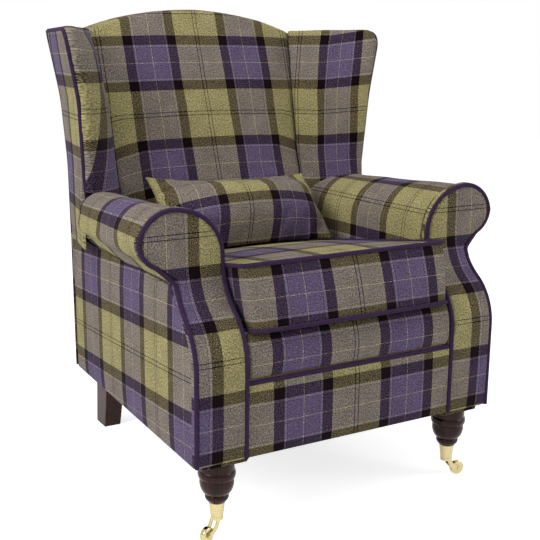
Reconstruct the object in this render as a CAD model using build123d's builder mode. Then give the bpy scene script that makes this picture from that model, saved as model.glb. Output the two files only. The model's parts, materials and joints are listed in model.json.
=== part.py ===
from build123d import *
import os
from math import atan2, cos, degrees, radians, sin, tan

# High-back winged armchair. Millimetres, +Z up, -Y is the front of the chair.
# "left" and "right" are the viewer's, seen from the front: left is -X.
# The origin is on the floor, under the middle of the chair.

# ---------------------------------------------------------------- driving dimensions
# Base of the chair
base_z = 178.0  # underside of the upholstery
front_y = -397.0  # front of the arm facings and of the front border
rear_y = 321.0  # rear of the outside back, below its rake
base_front_x = 370.0  # half width over the outside arms at the front
base_rear_x = 345.0  # half width at the rear
rail_bottom_z = 182.0
front_rail_top_z = 365.0
side_rail_top_z = 302.0
ply_rail_thickness = 22.0
rail_thickness = 26.0
panel_thickness = 6.0  # outside arm and outside back: card, wadding and cloth
facing_thickness = 12.0
piping_radius = 4.5
touch_gap = 0.3  # between curved soft pieces that only rest on each other
facing_foot_drop = 60.0  # the facing's piping is drawn this far past the base, then cut level

# Arms
arm_inner_x = 252.0
arm_shoulder_z = 560.0  # where the inside arm starts to roll outwards
arm_top_x = 340.0  # the highest line of the roll
arm_top_front_z = 666.0
arm_top_rear_z = 641.0
arm_outer_front_x = 439.0
arm_outer_rear_x = 392.0
arm_outer_z = 605.0
arm_seam_z = 515.0  # the outside arm stops here, under the roll
arm_pad_bottom_z = 300.0
roll_inner_bulge = (0.28, 0.67)  # shares of the way out and up to the top, on the inner arc
roll_outer_bulge = (0.72, 0.76)  # shares of the way out and back up to the top, on the outer arc
roll_under_bend = (9.0, 30.0)  # in and down from the roll's outermost line
roll_under_end = (36.0, 53.0)
roll_notch_rise = 9.0  # the roll meets the outside arm this far above its seam
arm_seam_inset = 4.0  # the roll's foot lies this far inside the outside arm's face
facing_neck_drop = 12.0  # below the seam the facing widens again, between these two depths
facing_neck_end = 60.0
arm_cut_margin = 60.0  # the drawn arm front reaches this far behind the stump
arm_pad_thickness = 38.0
arm_rear_y = 190.0
scroll_bend_low_z = 365.0  # the arm front bends back between these heights
scroll_bend_high_z = 565.0
scroll_setback = 97.0
arm_board_thickness = 25.0
arm_board_inner_x = 300.0
arm_board_inset = 12.0  # from the outside arm's face
stump_width = 58.0

# Back: one value for each level of the wing, from the arm board to the wing's top
crest_z = 1057.0
back_level_drops = (357.0, 207.0, 54.0)  # of the upper levels, below the crest
back_foot_z = arm_seam_z + arm_board_thickness
back_levels = (back_foot_z, *(crest_z - drop for drop in back_level_drops))
outside_back_y = (321.0, 324.0, 350.0, 398.0)
outside_back_x = (346.0, 347.0, 350.0, 364.0)
wing_front_x = (386.0, 384.0, 393.0, 421.0)
wing_front_y = (112.0, 112.0, 104.0, 103.0)
wing_seam_x = (254.0, 255.0, 260.0, 277.0)
back_rake = 19.5  # degrees, of the inside back
inside_back_y = 188.0  # of the inside back's middle, at back_measure_z
back_measure_z = 653.0
back_crowns = (34.0, 32.0, 14.0, 17.0)  # how far the middle stands before the wing seams
back_pad_thickness = 45.0
back_pad_bottom_z = 330.0
back_pad_half_width = 250.0
crest_half_width = 290.0
crest_cap_drop = 107.0  # above this the padding goes over the top rail
wing_corner_radius = 40.0
wing_edge_setback = 10.0  # the outside wing starts this far behind the wing's front edge
wing_tip = (12.0, 20.0, 6.0)  # in to the front edge, in to its inner end, back at its inner end
wing_piping_setback = 8.0
wing_bend_radius = 400.0  # of the piping where the wing's line changes direction
wing_rear_bend_radius = 16.0
wing_skin = 5.0
seam_gap = 2.0  # sewn seam between the wing and the inside back
wing_board_thickness = 20.0
wing_board_cover = 3.0  # padding between the board and the outside wing
wing_board_start = 22.0  # behind the outside wing's front edge
wing_board_gap = 8.0  # between the board and the back post
post_inner_x = 296.0
post_width = 34.0
post_depth = 50.0
post_top_drop = 82.0  # below the crest
top_rail_cover = 22.0  # padding over the top rail
tack_rail_depth = 25.0
tack_rail_height = 40.0
tack_rail_end_gap = 2.0  # at each end, inside the outside arm
crest_overshoot = 15.0  # pieces under the crest are drawn past it, then cut to its arch
arm_pad_wing_inset = 30.0  # the arm pad is cut away round the wing's foot from here outwards
arm_pad_wing_setback = 6.0

# Seat, which slopes down to the rear
seat_pitch = 9.0  # degrees
cushion_front_y = -405.0  # lower front edge of the seat cushion
cushion_front_z = 433.0
cushion_half_width = 246.0
cushion_height = 128.0
cushion_back_gap = 10.0  # between its flat rear edge and the inside back, along the seat
cushion_lean = 20.0  # the top of its front is this far behind the foot
cushion_crown = 13.0
cushion_cover = 3.0
cushion_end_draw = 5.0  # its front and rear are drawn in this much towards its sides
cushion_end_crown = 3.0  # what is left of the crown at its sides
cushion_front_swell = 4.0
cushion_rear = (-3.0, 13.0, 22.0)  # past its length, at the foot, the middle and the top
cushion_side_inset = 2.5  # its padding ends this far inside its half width
cushion_shares = ((0, 1), (120, 0.9), (200, 0.5))  # x, and the share of the swell there
cushion_piping_foot = (5.2, -3.0, -0.5)  # up, at the front, and past its length at the rear
cushion_piping_top = (0.0, -1.5, 23.5)  # above its height, before the lean, and past its length
cushion_piping_inset = 0.5
cushion_piping_corner = 8.0
lip_depth = 100.0  # of the padded front edge, along the seat
lip_bottom_z = 334.0
lip_face_inset = 4.0  # behind the front border's face
lip_swell = 7.0
lip_nose = (18.0, -16.0)  # along the seat and up from the cushion's lower front edge
lip_brow = (25.0, -5.0)
lip_top = 38.0
lip_rail_cover = 8.0  # padding over the front rail
seat_side_gap = 1.0  # between the seat and each inside arm
platform_thickness = 55.0
platform_back_gap = 5.6  # between its lower rear edge and the inside back
spring_wire_radius = 1.9
spring_count = 5
spring_spacing = 98.0
spring_half_width = 23.0
spring_pitch = 24.0  # between one cross run and the next
clip_width = 18.0
clip_depth = 12.0
clip_lift = 2.2  # the wire's underside stands this far above the rail
webbing_count = 5
webbing_width = 50.0
webbing_thickness = 2.0

# Loose lumbar cushion
lumbar_half_width = 220.0
lumbar_height = 212.0
lumbar_front_swell = 52.0
lumbar_rear_swell = 78.0
lumbar_tilt = 46.5  # degrees from level
lumbar_foot_back = 92.0  # its foot lies this far before the seat cushion's rear edge
lumbar_foot_rise = 15.5  # above the flat of the seat cushion's top, on its crown
lumbar_cover = 2.5
lumbar_edge_cover = 10.0  # cloth and seam, from the filling's edge to the cushion's

# Front legs: turned, with a brass cup castor
leg_x = 299.0
leg_y = -352.0
leg_top_z = 165.0
leg_collar_radius = 38.5
leg_vase_radius = 35.0
leg_ring_radius = 24.5
leg_neck_step = 1.0  # the neck stands out past the vase
leg_collar = (149.0, 141.0, 132.0)  # heights of its top, its widest line and its foot
leg_collar_undercut = 2.0
leg_groove_z = 130.0
leg_groove_depth = 1.0  # inside the vase
leg_vase_z = 121.0
leg_vase_hip = (33.0, 110.0)  # radius and height
leg_vase_waist = (28.5, 101.0)
leg_vase_foot_z = 96.0
leg_ring_z = 90.0
leg_ring_foot = (22.0, 84.0)
leg_ring_undercut = 1.5
leg_ankle_step = (1.5, 1.0)  # past the cup's rim, outwards and up
cup_top_z = 78.0
cup_bottom_z = 47.0
cup_top_radius = 17.0
cup_bottom_radius = 13.0
cup_wall = 1.5
cup_floor = 3.0
stem_radius = 3.0
running_clearance = 0.05
castor_gap = 0.4
rivet_radius = 5.0
rivet_height = 3.0
screw_angles = (60, 120)
screw_z = 72.0
screw_radius = 1.2
screw_length = 9.0
screw_head_radius = 2.4
screw_head_height = 1.4
screw_head_proud = 0.6
castor_trail = 30.0
wheel_radius = 16.0
wheel_width = 12.0
wheel_edge_radius = 2.5
wheel_side_gap = 0.5
axle_radius = 2.5
axle_cap = 1.5  # how far each end cap stands out, and how thick it is
horn_arm_thickness = 3.0
horn_plate_thickness = 6.5
horn_shoulder = (9.0, 2.0)  # trail and drop from the plate's top where the arm starts
horn_back_bend = (15.0, 31.0)
horn_boss_top = (2.0, 6.0)  # trail past the axle and height above it
horn_boss_side = (6.0, -1.0)
horn_boss_foot = (-3.0, -5.0)
horn_front_bend = (8.0, 24.0)
castor_left_angle = 200.0  # degrees; where each wheel trails at rest
castor_right_angle = -8.0

# Rear legs: square, tapered and splayed to the rear
rear_leg_top = (240.0, 292.0, 243.0, 313.0)  # x from, x to, y from, y to
rear_leg_foot = (236.0, 279.0, 304.0, 360.0)

bolt_radius = 4.0
bolt_length = 70.0
block_height = 60.0
leg_block_width = 82.0
leg_block_reach = 52.0  # behind the leg's axis
wrap_half_widths = (54.0, 51.0)  # of the cloth round the block, inside and outside the leg's axis
wrap_corner_radius = 8.0
wrap_front_gap = 0.5  # in front of the leg's collar
rear_block_depth = 49.0
leg_bolt_sink = 10.0  # the bolt's middle lies this far below the leg's top
rear_bolt_place = (266.0, 268.0)
rear_bolt_sink = 7.0
dust_cover_thickness = 2.0

# ---------------------------------------------------------------- worked-out values
rake = tan(radians(back_rake))
pitch = radians(seat_pitch)
top_level = back_levels[-1]
crest_cap_z = crest_z - crest_cap_drop
post_top_z = crest_z - post_top_drop
scroll_rise = scroll_bend_high_z - scroll_bend_low_z
scroll_turn = 2 * atan2(scroll_setback, scroll_rise)
scroll_radius = scroll_rise / 2 / sin(scroll_turn)
stump_back = facing_thickness + ply_rail_thickness
side_taper = (base_front_x - base_rear_x) / (rear_y - front_y)
beyond = 700.0  # further than any piece reaches, for cuts


def at_level(values, z):
    """The value at height z, straight between the levels of the back."""
    last = len(back_levels) - 2
    i = min(max(sum(z > level for level in back_levels) - 1, 0), last)
    if z < back_levels[0]:
        return values[0]
    share = (z - back_levels[i]) / (back_levels[i + 1] - back_levels[i])
    return values[i] + share * (values[i + 1] - values[i])


def back_front_y(z):
    """Middle of the inside back's face at height z."""
    return inside_back_y + (z - back_measure_z) * rake


def back_rear_y(z):
    """Inner face of the outside back at height z."""
    return at_level(outside_back_y, z) - panel_thickness


def side_x(y):
    """Outer face of the outside arm at depth y."""
    return base_front_x - (y - front_y) * side_taper


def seat_point(along, up):
    """Y and Z of a point on the sloping seat, from the cushion's lower front edge."""
    y = cushion_front_y + along * cos(pitch) + up * sin(pitch)
    z = cushion_front_z - along * sin(pitch) + up * cos(pitch)
    return y, z


def back_along(up):
    """How far along the seat the inside back's middle stands, this far above the seat."""
    y, z = seat_point(0, up)
    return (back_front_y(z) - y) / (cos(pitch) + rake * sin(pitch))


cushion_length = back_along(0) - cushion_back_gap
platform_length = back_along(-platform_thickness) - platform_back_gap


def seat_plane(x):
    """A plane across the chair at x, with its x axis along the seat and y square to it."""
    origin = (x, cushion_front_y, cushion_front_z)
    return Plane(origin=origin, x_dir=(0, cos(pitch), -sin(pitch)), z_dir=(1, 0, 0))


def seat_level(up):
    """The plane parallel to the seat, this far above the cushion's underside."""
    y, z = seat_point(0, up)
    return Plane(origin=(0, y, z), x_dir=(1, 0, 0), z_dir=(0, sin(pitch), cos(pitch)))


def mirrored(piece):
    """The same piece for the other side of the chair."""
    with BuildPart() as other:
        mirror(piece.part, about=Plane.YZ)
    return other


def box_between(x, y, z, mode=Mode.ADD):
    """A box given by its lowest and highest x, y and z."""
    centre = tuple((low + high) / 2 for low, high in (x, y, z))
    with Locations(centre):
        Box(x[1] - x[0], y[1] - y[0], z[1] - z[0], mode=mode)


pieces = {}

# ---------------------------------------------------------------- arms


def scroll_edge(shift, low, high):
    """Side view of the arm front, moved back by shift, from low to high."""
    up = Line((front_y + shift, low), (front_y + shift, scroll_bend_low_z))
    turn = degrees(scroll_turn)
    back = JernArc(up @ 1, up % 1, scroll_radius, -turn)
    over = JernArc(back @ 1, back % 1, scroll_radius, turn)
    return up, Line(over @ 1, (front_y + shift + scroll_setback, high))


def scroll_band(near, far, low, high):
    """Side view of a layer of the arm front, between two distances behind its face."""
    first, first_top = scroll_edge(near, low, high)
    last, last_top = scroll_edge(far, low, high)
    Line(first @ 0, last @ 0)
    Line(first_top @ 1, last_top @ 1)


def roll_lines(outer_x, top_z, face_x, end_z):
    """The arm's outline over the roll, from the shoulder to the outside arm at end_z."""
    start = (arm_inner_x, arm_shoulder_z)
    top = (arm_top_x, top_z)
    outer = (outer_x, arm_outer_z)
    reach = outer_x - arm_top_x
    rise = top_z - arm_outer_z
    out, up = roll_inner_bulge
    inner_x = arm_inner_x + out * (arm_top_x - arm_inner_x)
    ThreePointArc(start, (inner_x, arm_shoulder_z + up * (top_z - arm_shoulder_z)), top)
    out, up = roll_outer_bulge
    ThreePointArc(top, (arm_top_x + out * reach, arm_outer_z + up * rise), outer)
    bend, end = ((outer_x - x, arm_outer_z - z) for x, z in (roll_under_bend, roll_under_end))
    under = ThreePointArc(outer, bend, end)
    notch = Line(under @ 1, (face_x - arm_seam_inset, arm_seam_z + roll_notch_rise))
    Line(notch @ 1, (face_x - arm_seam_inset, end_z))


def facing_lines(bottom):
    """Outline of the arm facing, with its foot at bottom."""
    foot = Line((arm_inner_x, bottom), (arm_inner_x, arm_shoulder_z))
    neck_z = arm_seam_z - facing_neck_drop
    hip = (base_front_x, arm_seam_z - facing_neck_end)
    roll_lines(arm_outer_front_x, arm_top_front_z, base_front_x, neck_z)
    Line((base_front_x - arm_seam_inset, neck_z), hip)
    Line(hip, (base_front_x, bottom))
    Line((base_front_x, bottom), foot @ 0)


def cut_to_scroll(near, far):
    """Keep only what lies between two distances behind the arm front's face."""
    with BuildSketch(Plane.YZ, mode=Mode.PRIVATE) as band:
        with BuildLine():
            scroll_band(near, far, base_z, crest_z)
        make_face()
    extrude(band.sketch, amount=beyond, mode=Mode.INTERSECT)


arm_front = Plane.XZ.offset(-front_y + 2 * piping_radius)
arm_reach = scroll_setback + stump_back + arm_cut_margin

with BuildPart() as arm_piping_right:
    with BuildSketch(arm_front):
        with BuildLine():
            facing_lines(base_z - facing_foot_drop)
        make_face()
        offset(amount=-2 * piping_radius, mode=Mode.SUBTRACT)
    extrude(amount=-arm_reach)
    cut_to_scroll(-piping_radius, piping_radius)

with BuildPart() as arm_facing_right:
    with BuildSketch(arm_front):
        with BuildLine():
            facing_lines(base_z)
        make_face()
    extrude(amount=-arm_reach)
    cut_to_scroll(0, facing_thickness)
    add(arm_piping_right.part, mode=Mode.SUBTRACT)


def side_strip(near, far, y_from, y_to):
    """Plan of a strip along the outside arm, between two depths inside its face."""
    corners = [(side_x(y) - depth, y) for depth, y in ((near, y_from), (near, y_to))]
    corners += [(side_x(y) - depth, y) for depth, y in ((far, y_to), (far, y_from))]
    Polyline(*corners, close=True)


with BuildPart() as arm_stump_right:
    box_between(
        (arm_board_inner_x, arm_board_inner_x + stump_width),
        (front_y, beyond),
        (rail_bottom_z, arm_outer_z),
    )
    cut_to_scroll(facing_thickness, stump_back)

post_front_y = rear_y - panel_thickness - post_depth

with BuildPart() as arm_board_right:
    with BuildSketch(Plane.XY.offset(arm_seam_z)):
        with BuildLine():
            board_front_y = front_y + scroll_setback
            Polyline(
                (arm_board_inner_x, board_front_y),
                (side_x(board_front_y) - arm_board_inset, board_front_y),
                (side_x(post_front_y) - arm_board_inset, post_front_y),
                (arm_board_inner_x, post_front_y),
                close=True,
            )
        make_face()
    extrude(amount=arm_board_thickness)
    cut_to_scroll(stump_back, beyond)

with BuildPart() as outside_arm_right:
    with BuildSketch(Plane.XY.offset(base_z)):
        with BuildLine():
            side_strip(0, panel_thickness, front_y, rear_y - panel_thickness)
        make_face()
    extrude(amount=arm_seam_z - base_z)
    cut_to_scroll(facing_thickness, beyond)
    add(arm_piping_right.part, mode=Mode.SUBTRACT)

with BuildPart() as side_rail_right:
    with BuildSketch(Plane.XY.offset(rail_bottom_z)):
        with BuildLine():
            side_strip(
                panel_thickness,
                panel_thickness + rail_thickness,
                front_y + stump_back,
                post_front_y,
            )
        make_face()
    extrude(amount=side_rail_top_z - rail_bottom_z)

# ---------------------------------------------------------------- wings


def wing_front(z):
    """X and Y of the wing's front edge at height z."""
    return at_level(wing_front_x, z), at_level(wing_front_y, z)


def wing_seam(z):
    """X and Y of the seam between the wing and the inside back at height z."""
    return at_level(wing_seam_x, z), back_front_y(z) + at_level(back_crowns, z)


def wing_rear(z):
    """X and Y of the rear corner inside the outside wing at height z."""
    return at_level(outside_back_x, z) - wing_skin, back_rear_y(z)


def wing_plan(z):
    """Plan of the wing's padding: a wedge with a rounded front edge, just clear of the back."""
    x, y = wing_front(z)
    edge_in, end_in, end_back = wing_tip
    outer = Vector(x - wing_skin, y + wing_edge_setback)
    seam = Vector(*wing_seam(z))
    rear = Vector(*wing_rear(z))
    across = (rear - seam).normalized().rotate(Axis.Z, -90)
    tip = ThreePointArc(outer, (x - edge_in, y), (x - end_in, y + end_back))
    clear_rear = rear + (outer - rear).normalized() * 2 * seam_gap
    Polyline(tip @ 1, seam + across * seam_gap, clear_rear, outer)


def wing_corner():
    """Round off the wing's top front corner."""
    radius = wing_corner_radius
    low = top_level - radius
    y = wing_front(low)[1] - 1.0
    with BuildSketch(Plane.YZ, mode=Mode.PRIVATE) as corner:
        with BuildLine():
            side = Line((y - radius, low), (y, low))
            CenterArc((y + radius, low), radius, 180, -90)
            Polyline(
                (y + radius, top_level),
                (y + radius, top_level + radius),
                (y - radius, top_level + radius),
                side @ 0,
            )
        make_face()
    extrude(corner.sketch, amount=beyond, mode=Mode.SUBTRACT)


with BuildPart() as post_right:
    with BuildSketch(Plane.YZ.offset(post_inner_x)):
        with BuildLine():
            heights = (rail_bottom_z, *back_levels[:-1], post_top_z)
            rear = [(back_rear_y(z), z) for z in heights]
            front = [(y - post_depth, z) for y, z in reversed(rear)]
            Polyline(*rear, *front, close=True)
        make_face()
    extrude(amount=post_width)

with BuildPart() as wing_board_right:
    for z in (*back_levels[:-1], post_top_z):
        with BuildSketch(Plane.XY.offset(z)):
            with BuildLine():
                x, y = wing_front(z)
                start = Vector(x - wing_skin, y + wing_edge_setback)
                end = Vector(*wing_rear(z))
                along = (end - start).normalized()
                inward = Vector(-along.Y, along.X)
                near = start + along * wing_board_start + inward * wing_board_cover
                far = end - along * (post_depth + wing_board_gap) + inward * wing_board_cover
                Polyline(
                    near,
                    far,
                    far + inward * wing_board_thickness,
                    near + inward * wing_board_thickness,
                    close=True,
                )
            make_face()
    loft(ruled=True)

piping_levels = (arm_seam_z + piping_radius, *back_levels[1:])
piping_rise = [
    (at_level(wing_front_x, z), at_level(wing_front_y, z) + wing_piping_setback, z)
    for z in piping_levels
]
piping_fall = [
    (at_level(outside_back_x, z), back_rear_y(z), z) for z in reversed(piping_levels)
]
piping_bends = (
    wing_bend_radius,
    wing_bend_radius,
    wing_corner_radius,
    wing_rear_bend_radius,
    wing_bend_radius,
    wing_bend_radius,
)

with BuildPart() as wing_piping_right:
    with BuildLine() as run:
        FilletPolyline(*piping_rise, *piping_fall, radius=piping_bends)
    with BuildSketch(Plane(origin=run.line @ 0, z_dir=run.line % 0)):
        Circle(piping_radius)
    sweep()

with BuildPart() as wing_pad_right:
    for z in back_levels:
        with BuildSketch(Plane.XY.offset(z)):
            with BuildLine():
                wing_plan(z)
            make_face()
    loft(ruled=True)
    wing_corner()
    add(wing_board_right.part, mode=Mode.SUBTRACT)
    add(post_right.part, mode=Mode.SUBTRACT)

with BuildPart() as outside_wing_right:
    for z in (arm_seam_z, *back_levels):
        with BuildSketch(Plane.XY.offset(z)):
            with BuildLine():
                x, y = wing_front(z)
                rear_x, edge_y = wing_rear(z)
                Polyline(
                    (x, y + wing_edge_setback),
                    (x - wing_skin, y + wing_edge_setback),
                    (rear_x, edge_y),
                    (rear_x + wing_skin, edge_y),
                    close=True,
                )
            make_face()
    loft(ruled=True)
    wing_corner()
    add(wing_piping_right.part, mode=Mode.SUBTRACT)
    # the groove for the piping leaves crumbs at the corners; only the panel stays
    add(outside_wing_right.solids().sort_by(SortBy.VOLUME)[-1], mode=Mode.INTERSECT)

# ---------------------------------------------------------------- back


def crest_lines(cover):
    """Front view of everything under the crest's arch, less a cover over it."""
    left = (-crest_half_width, top_level - cover)
    right = (crest_half_width, top_level - cover)
    arch = ThreePointArc(left, (0, crest_z - cover), right)
    Polyline(
        right,
        (beyond, top_level - cover),
        (beyond, 0),
        (-beyond, 0),
        (-beyond, top_level - cover),
        arch @ 0,
    )


def cut_to_crest(cover):
    """Keep only what lies under the crest's arch, less a cover."""
    with BuildSketch(Plane.XZ, mode=Mode.PRIVATE) as arch:
        with BuildLine():
            crest_lines(cover)
        make_face()
    extrude(arch.sketch, amount=-beyond, mode=Mode.INTERSECT)


def side_of_rear(z):
    """X and Y where the padding's rear meets the line from wing seam to rear corner."""
    seam_x, seam_y = wing_seam(z)
    rear_x, edge_y = wing_rear(z)
    y = back_front_y(z) + back_pad_thickness
    return seam_x + (rear_x - seam_x) * (y - seam_y) / (edge_y - seam_y), y


def pad_plan(seam, rear, crown_y):
    """Plan of a crowned pad, from its front corner, its rear corner and its middle."""
    face = ThreePointArc((-seam[0], seam[1]), (0, crown_y), seam)
    Polyline(face @ 1, rear, (-rear[0], rear[1]), face @ 0)


crest_top = crest_z + crest_overshoot

with BuildPart() as back_top_rail:
    with BuildSketch(Plane.YZ.offset(-post_inner_x)):
        with BuildLine():
            heights = (crest_cap_z, top_level, crest_top)
            web = [(back_front_y(z) + back_pad_thickness + webbing_thickness, z) for z in heights]
            rear = [(back_rear_y(z), z) for z in reversed(heights)]
            Polyline(*web, *rear, close=True)
        make_face()
    extrude(amount=2 * post_inner_x)
    cut_to_crest(top_rail_cover)

tack_rail_top_z = arm_seam_z

with BuildPart() as back_lower_rail:
    half_width = side_x(arm_rear_y) - panel_thickness - tack_rail_end_gap
    with BuildSketch(Plane.YZ.offset(-half_width)):
        with BuildLine():
            heights = (tack_rail_top_z - tack_rail_height, tack_rail_top_z)
            web = [(back_front_y(z) + back_pad_thickness + webbing_thickness, z) for z in heights]
            rear = [(y + tack_rail_depth, z) for y, z in reversed(web)]
            Polyline(*web, *rear, close=True)
        make_face()
    extrude(amount=2 * half_width)

with BuildPart() as back_webbing:
    foot = tack_rail_top_z - tack_rail_height
    heights = (foot, crest_cap_z + tack_rail_height)
    for i in range(webbing_count):
        x = (i - (webbing_count - 1) / 2) * 2 * webbing_width
        with BuildSketch(Plane.YZ.offset(x - webbing_width / 2)):
            with BuildLine():
                front = [(back_front_y(z) + back_pad_thickness, z) for z in heights]
                rear = [(y + webbing_thickness, z) for y, z in reversed(front)]
                Polyline(*front, *rear, close=True)
            make_face()
        extrude(amount=webbing_width)

with BuildPart() as inside_back:
    for z in (back_pad_bottom_z, back_levels[0]):
        with BuildSketch(Plane.XY.offset(z)):
            with BuildLine():
                y = back_front_y(z)
                rear = (back_pad_half_width, y + back_pad_thickness)
                pad_plan((back_pad_half_width, y + back_crowns[0]), rear, y)
            make_face()
    loft(ruled=True)
    for z in (*back_levels[:-1], crest_cap_z):
        with BuildSketch(Plane.XY.offset(z)):
            with BuildLine():
                pad_plan(wing_seam(z), side_of_rear(z), back_front_y(z))
            make_face()
    loft(ruled=True)
    for z in (crest_cap_z, top_level, crest_top):
        with BuildSketch(Plane.XY.offset(z)):
            with BuildLine():
                pad_plan(wing_seam(z), wing_rear(z), back_front_y(z))
            make_face()
    loft(ruled=True)
    cut_to_crest(0)
    posts = (post_right, mirrored(post_right))
    for piece in (back_top_rail, back_webbing, *posts):
        add(piece.part, mode=Mode.SUBTRACT)

with BuildPart() as arm_pad_right:
    for y, outer_x, top_z in (
        (front_y, arm_outer_front_x, arm_top_front_z),
        (arm_rear_y, arm_outer_rear_x, arm_top_rear_z),
    ):
        with BuildSketch(Plane.XZ.offset(-y)):
            with BuildLine():
                roll_lines(outer_x, top_z, side_x(y), arm_seam_z)
                Polyline(
                    (side_x(y) - arm_seam_inset, arm_seam_z),
                    (arm_inner_x + arm_pad_thickness, arm_seam_z),
                    (arm_inner_x + arm_pad_thickness, arm_pad_bottom_z),
                    (arm_inner_x, arm_pad_bottom_z),
                    (arm_inner_x, arm_shoulder_z),
                )
            make_face()
    loft(ruled=True)
    cut_to_scroll(facing_thickness, beyond)
    outer_zone = (wing_front(arm_seam_z)[0] - arm_pad_wing_inset, beyond)
    board_top_z = arm_seam_z + arm_board_thickness
    behind = (wing_front(arm_seam_z)[1] + arm_pad_wing_setback, beyond)
    box_between(outer_zone, behind, (arm_seam_z, board_top_z), Mode.SUBTRACT)
    for piece in (
        arm_stump_right,
        arm_board_right,
        arm_piping_right,
        wing_piping_right,
        wing_board_right,
        wing_pad_right,
        outside_wing_right,
        back_lower_rail,
        inside_back,
    ):
        add(piece.part, mode=Mode.SUBTRACT)

with BuildPart() as outside_back:
    with BuildSketch(Plane.YZ.offset(-beyond)):
        with BuildLine():
            heights = (base_z, *back_levels, crest_top)
            inner = [(back_rear_y(z), z) for z in heights]
            outer = [(y + panel_thickness, z) for y, z in reversed(inner)]
            Polyline(*inner, *outer, close=True)
        make_face()
    extrude(amount=2 * beyond)
    cut_to_crest(0)
    with BuildSketch(Plane.XZ, mode=Mode.PRIVATE) as outline:
        with BuildLine():
            right = [(base_rear_x, base_z)]
            right += [(at_level(outside_back_x, z), z) for z in (*back_levels, crest_top)]
            left = [(-x, z) for x, z in reversed(right)]
            Polyline(*right, *left, close=True)
        make_face()
    extrude(outline.sketch, amount=-beyond, mode=Mode.INTERSECT)
    for piece in (wing_piping_right, mirrored(wing_piping_right)):
        add(piece.part, mode=Mode.SUBTRACT)

# ---------------------------------------------------------------- base and seat
seat_half_width = arm_inner_x - seat_side_gap
seat_x = (-seat_half_width, seat_half_width)
rail_front_y = front_y + facing_thickness

with BuildPart() as front_rail:
    rail_x = (-arm_board_inner_x, arm_board_inner_x)
    rail_depth = (rail_front_y, rail_front_y + ply_rail_thickness)
    box_between(rail_x, rail_depth, (rail_bottom_z, arm_pad_bottom_z))
    box_between(seat_x, rail_depth, (arm_pad_bottom_z, front_rail_top_z))

# The springs lie parallel to the seat, clipped to the tops of the front and rear rails.
wire_seat = spring_wire_radius + clip_lift
spring_front_y = rail_front_y + ply_rail_thickness / 2
spring_rear_y = rear_y - panel_thickness - rail_thickness / 2
spring_drop = front_rail_top_z + wire_seat - cushion_front_z
spring_up = spring_drop * cos(pitch) + (spring_front_y - cushion_front_y) * sin(pitch)
spring_start = (spring_front_y - cushion_front_y) * cos(pitch) - spring_drop * sin(pitch)
spring_length = (spring_rear_y - spring_front_y) / cos(pitch)
rear_rail_top_z = seat_point(spring_start + spring_length, spring_up)[1] - wire_seat

with BuildPart() as rear_rail:
    box_between(
        (-post_inner_x, post_inner_x),
        (rear_y - panel_thickness - rail_thickness, rear_y - panel_thickness),
        (rail_bottom_z, rear_rail_top_z),
    )

spring_runs = 2 * int(spring_length / spring_pitch / 2)
spring_step = spring_length / spring_runs
spring_x = [(i - (spring_count - 1) / 2) * spring_spacing for i in range(spring_count)]

with BuildPart() as zigzag_springs:
    for x in spring_x:
        bend = spring_step / 2
        half = spring_half_width - bend
        with BuildLine(seat_level(spring_up)) as wire:
            for i in range(spring_runs):
                side = 1 if i % 2 else -1
                y = spring_start + i * spring_step
                turn_at = (x + side * half, y + bend)
                Line((x - side * half, y), (x + side * half, y))
                CenterArc(turn_at, bend, -90, side * 180)
            y = spring_start + spring_length
            Line((x - half, y), (x + half, y))
        with BuildSketch(Plane(origin=wire.line @ 0, z_dir=wire.line % 0)):
            Circle(spring_wire_radius)
        sweep()

with BuildPart() as seat_lip:
    lip_face_y = front_y + lip_face_inset
    rail_cover_z = front_rail_top_z + lip_rail_cover
    top_front = seat_point(lip_top, -touch_gap)
    with BuildSketch(Plane.YZ.offset(-seat_half_width)):
        with BuildLine():
            foot = Line((rail_front_y, lip_bottom_z), (lip_face_y, lip_bottom_z))
            nose = seat_point(*lip_nose)
            belly = (lip_face_y - lip_swell, (lip_bottom_z + nose[1]) / 2)
            swell = ThreePointArc(foot @ 1, belly, nose)
            ThreePointArc(swell @ 1, seat_point(*lip_brow), top_front)
            Polyline(
                top_front,
                seat_point(lip_depth, -touch_gap),
                seat_point(lip_depth, -platform_thickness - touch_gap),
                (rail_front_y + ply_rail_thickness, rail_cover_z),
                (rail_front_y, rail_cover_z),
                foot @ 0,
            )
        make_face()
    extrude(amount=2 * seat_half_width)

with BuildPart() as seat_platform:
    with BuildSketch(Plane.YZ.offset(-seat_half_width)):
        with BuildLine():
            under = -platform_thickness - touch_gap
            Polyline(
                seat_point(lip_depth, -touch_gap),
                seat_point(platform_length, -touch_gap),
                seat_point(platform_length, under),
                seat_point(lip_depth, under),
                close=True,
            )
        make_face()
    extrude(amount=2 * seat_half_width)

with BuildPart() as front_border_piping:
    with BuildSketch(Plane.YZ.offset(-seat_half_width)):
        with Locations((front_y + lip_face_inset, lip_bottom_z - piping_radius)):
            Circle(piping_radius)
    extrude(amount=2 * seat_half_width)

with BuildPart() as front_border:
    box_between(seat_x, (front_y, rail_front_y), (base_z, lip_bottom_z - 2 * piping_radius))

with BuildPart() as spring_clips:
    for x in spring_x:
        for y, rail_top in (
            (spring_front_y, front_rail_top_z),
            (spring_rear_y, rear_rail_top_z),
        ):
            depth = (y - clip_depth / 2, y + clip_depth / 2)
            clip_top = rail_top + wire_seat + 2 * spring_wire_radius
            box_between((x - clip_width / 2, x + clip_width / 2), depth, (rail_top, clip_top))
    add(zigzag_springs.part, mode=Mode.SUBTRACT)

# ---------------------------------------------------------------- blocks and rear legs
leg_block_x = (arm_inner_x, arm_inner_x + leg_block_width)
leg_block_y = (rail_front_y + ply_rail_thickness, leg_y + leg_block_reach)
wrap_x = (leg_x - wrap_half_widths[0], leg_x + wrap_half_widths[1])

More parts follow.
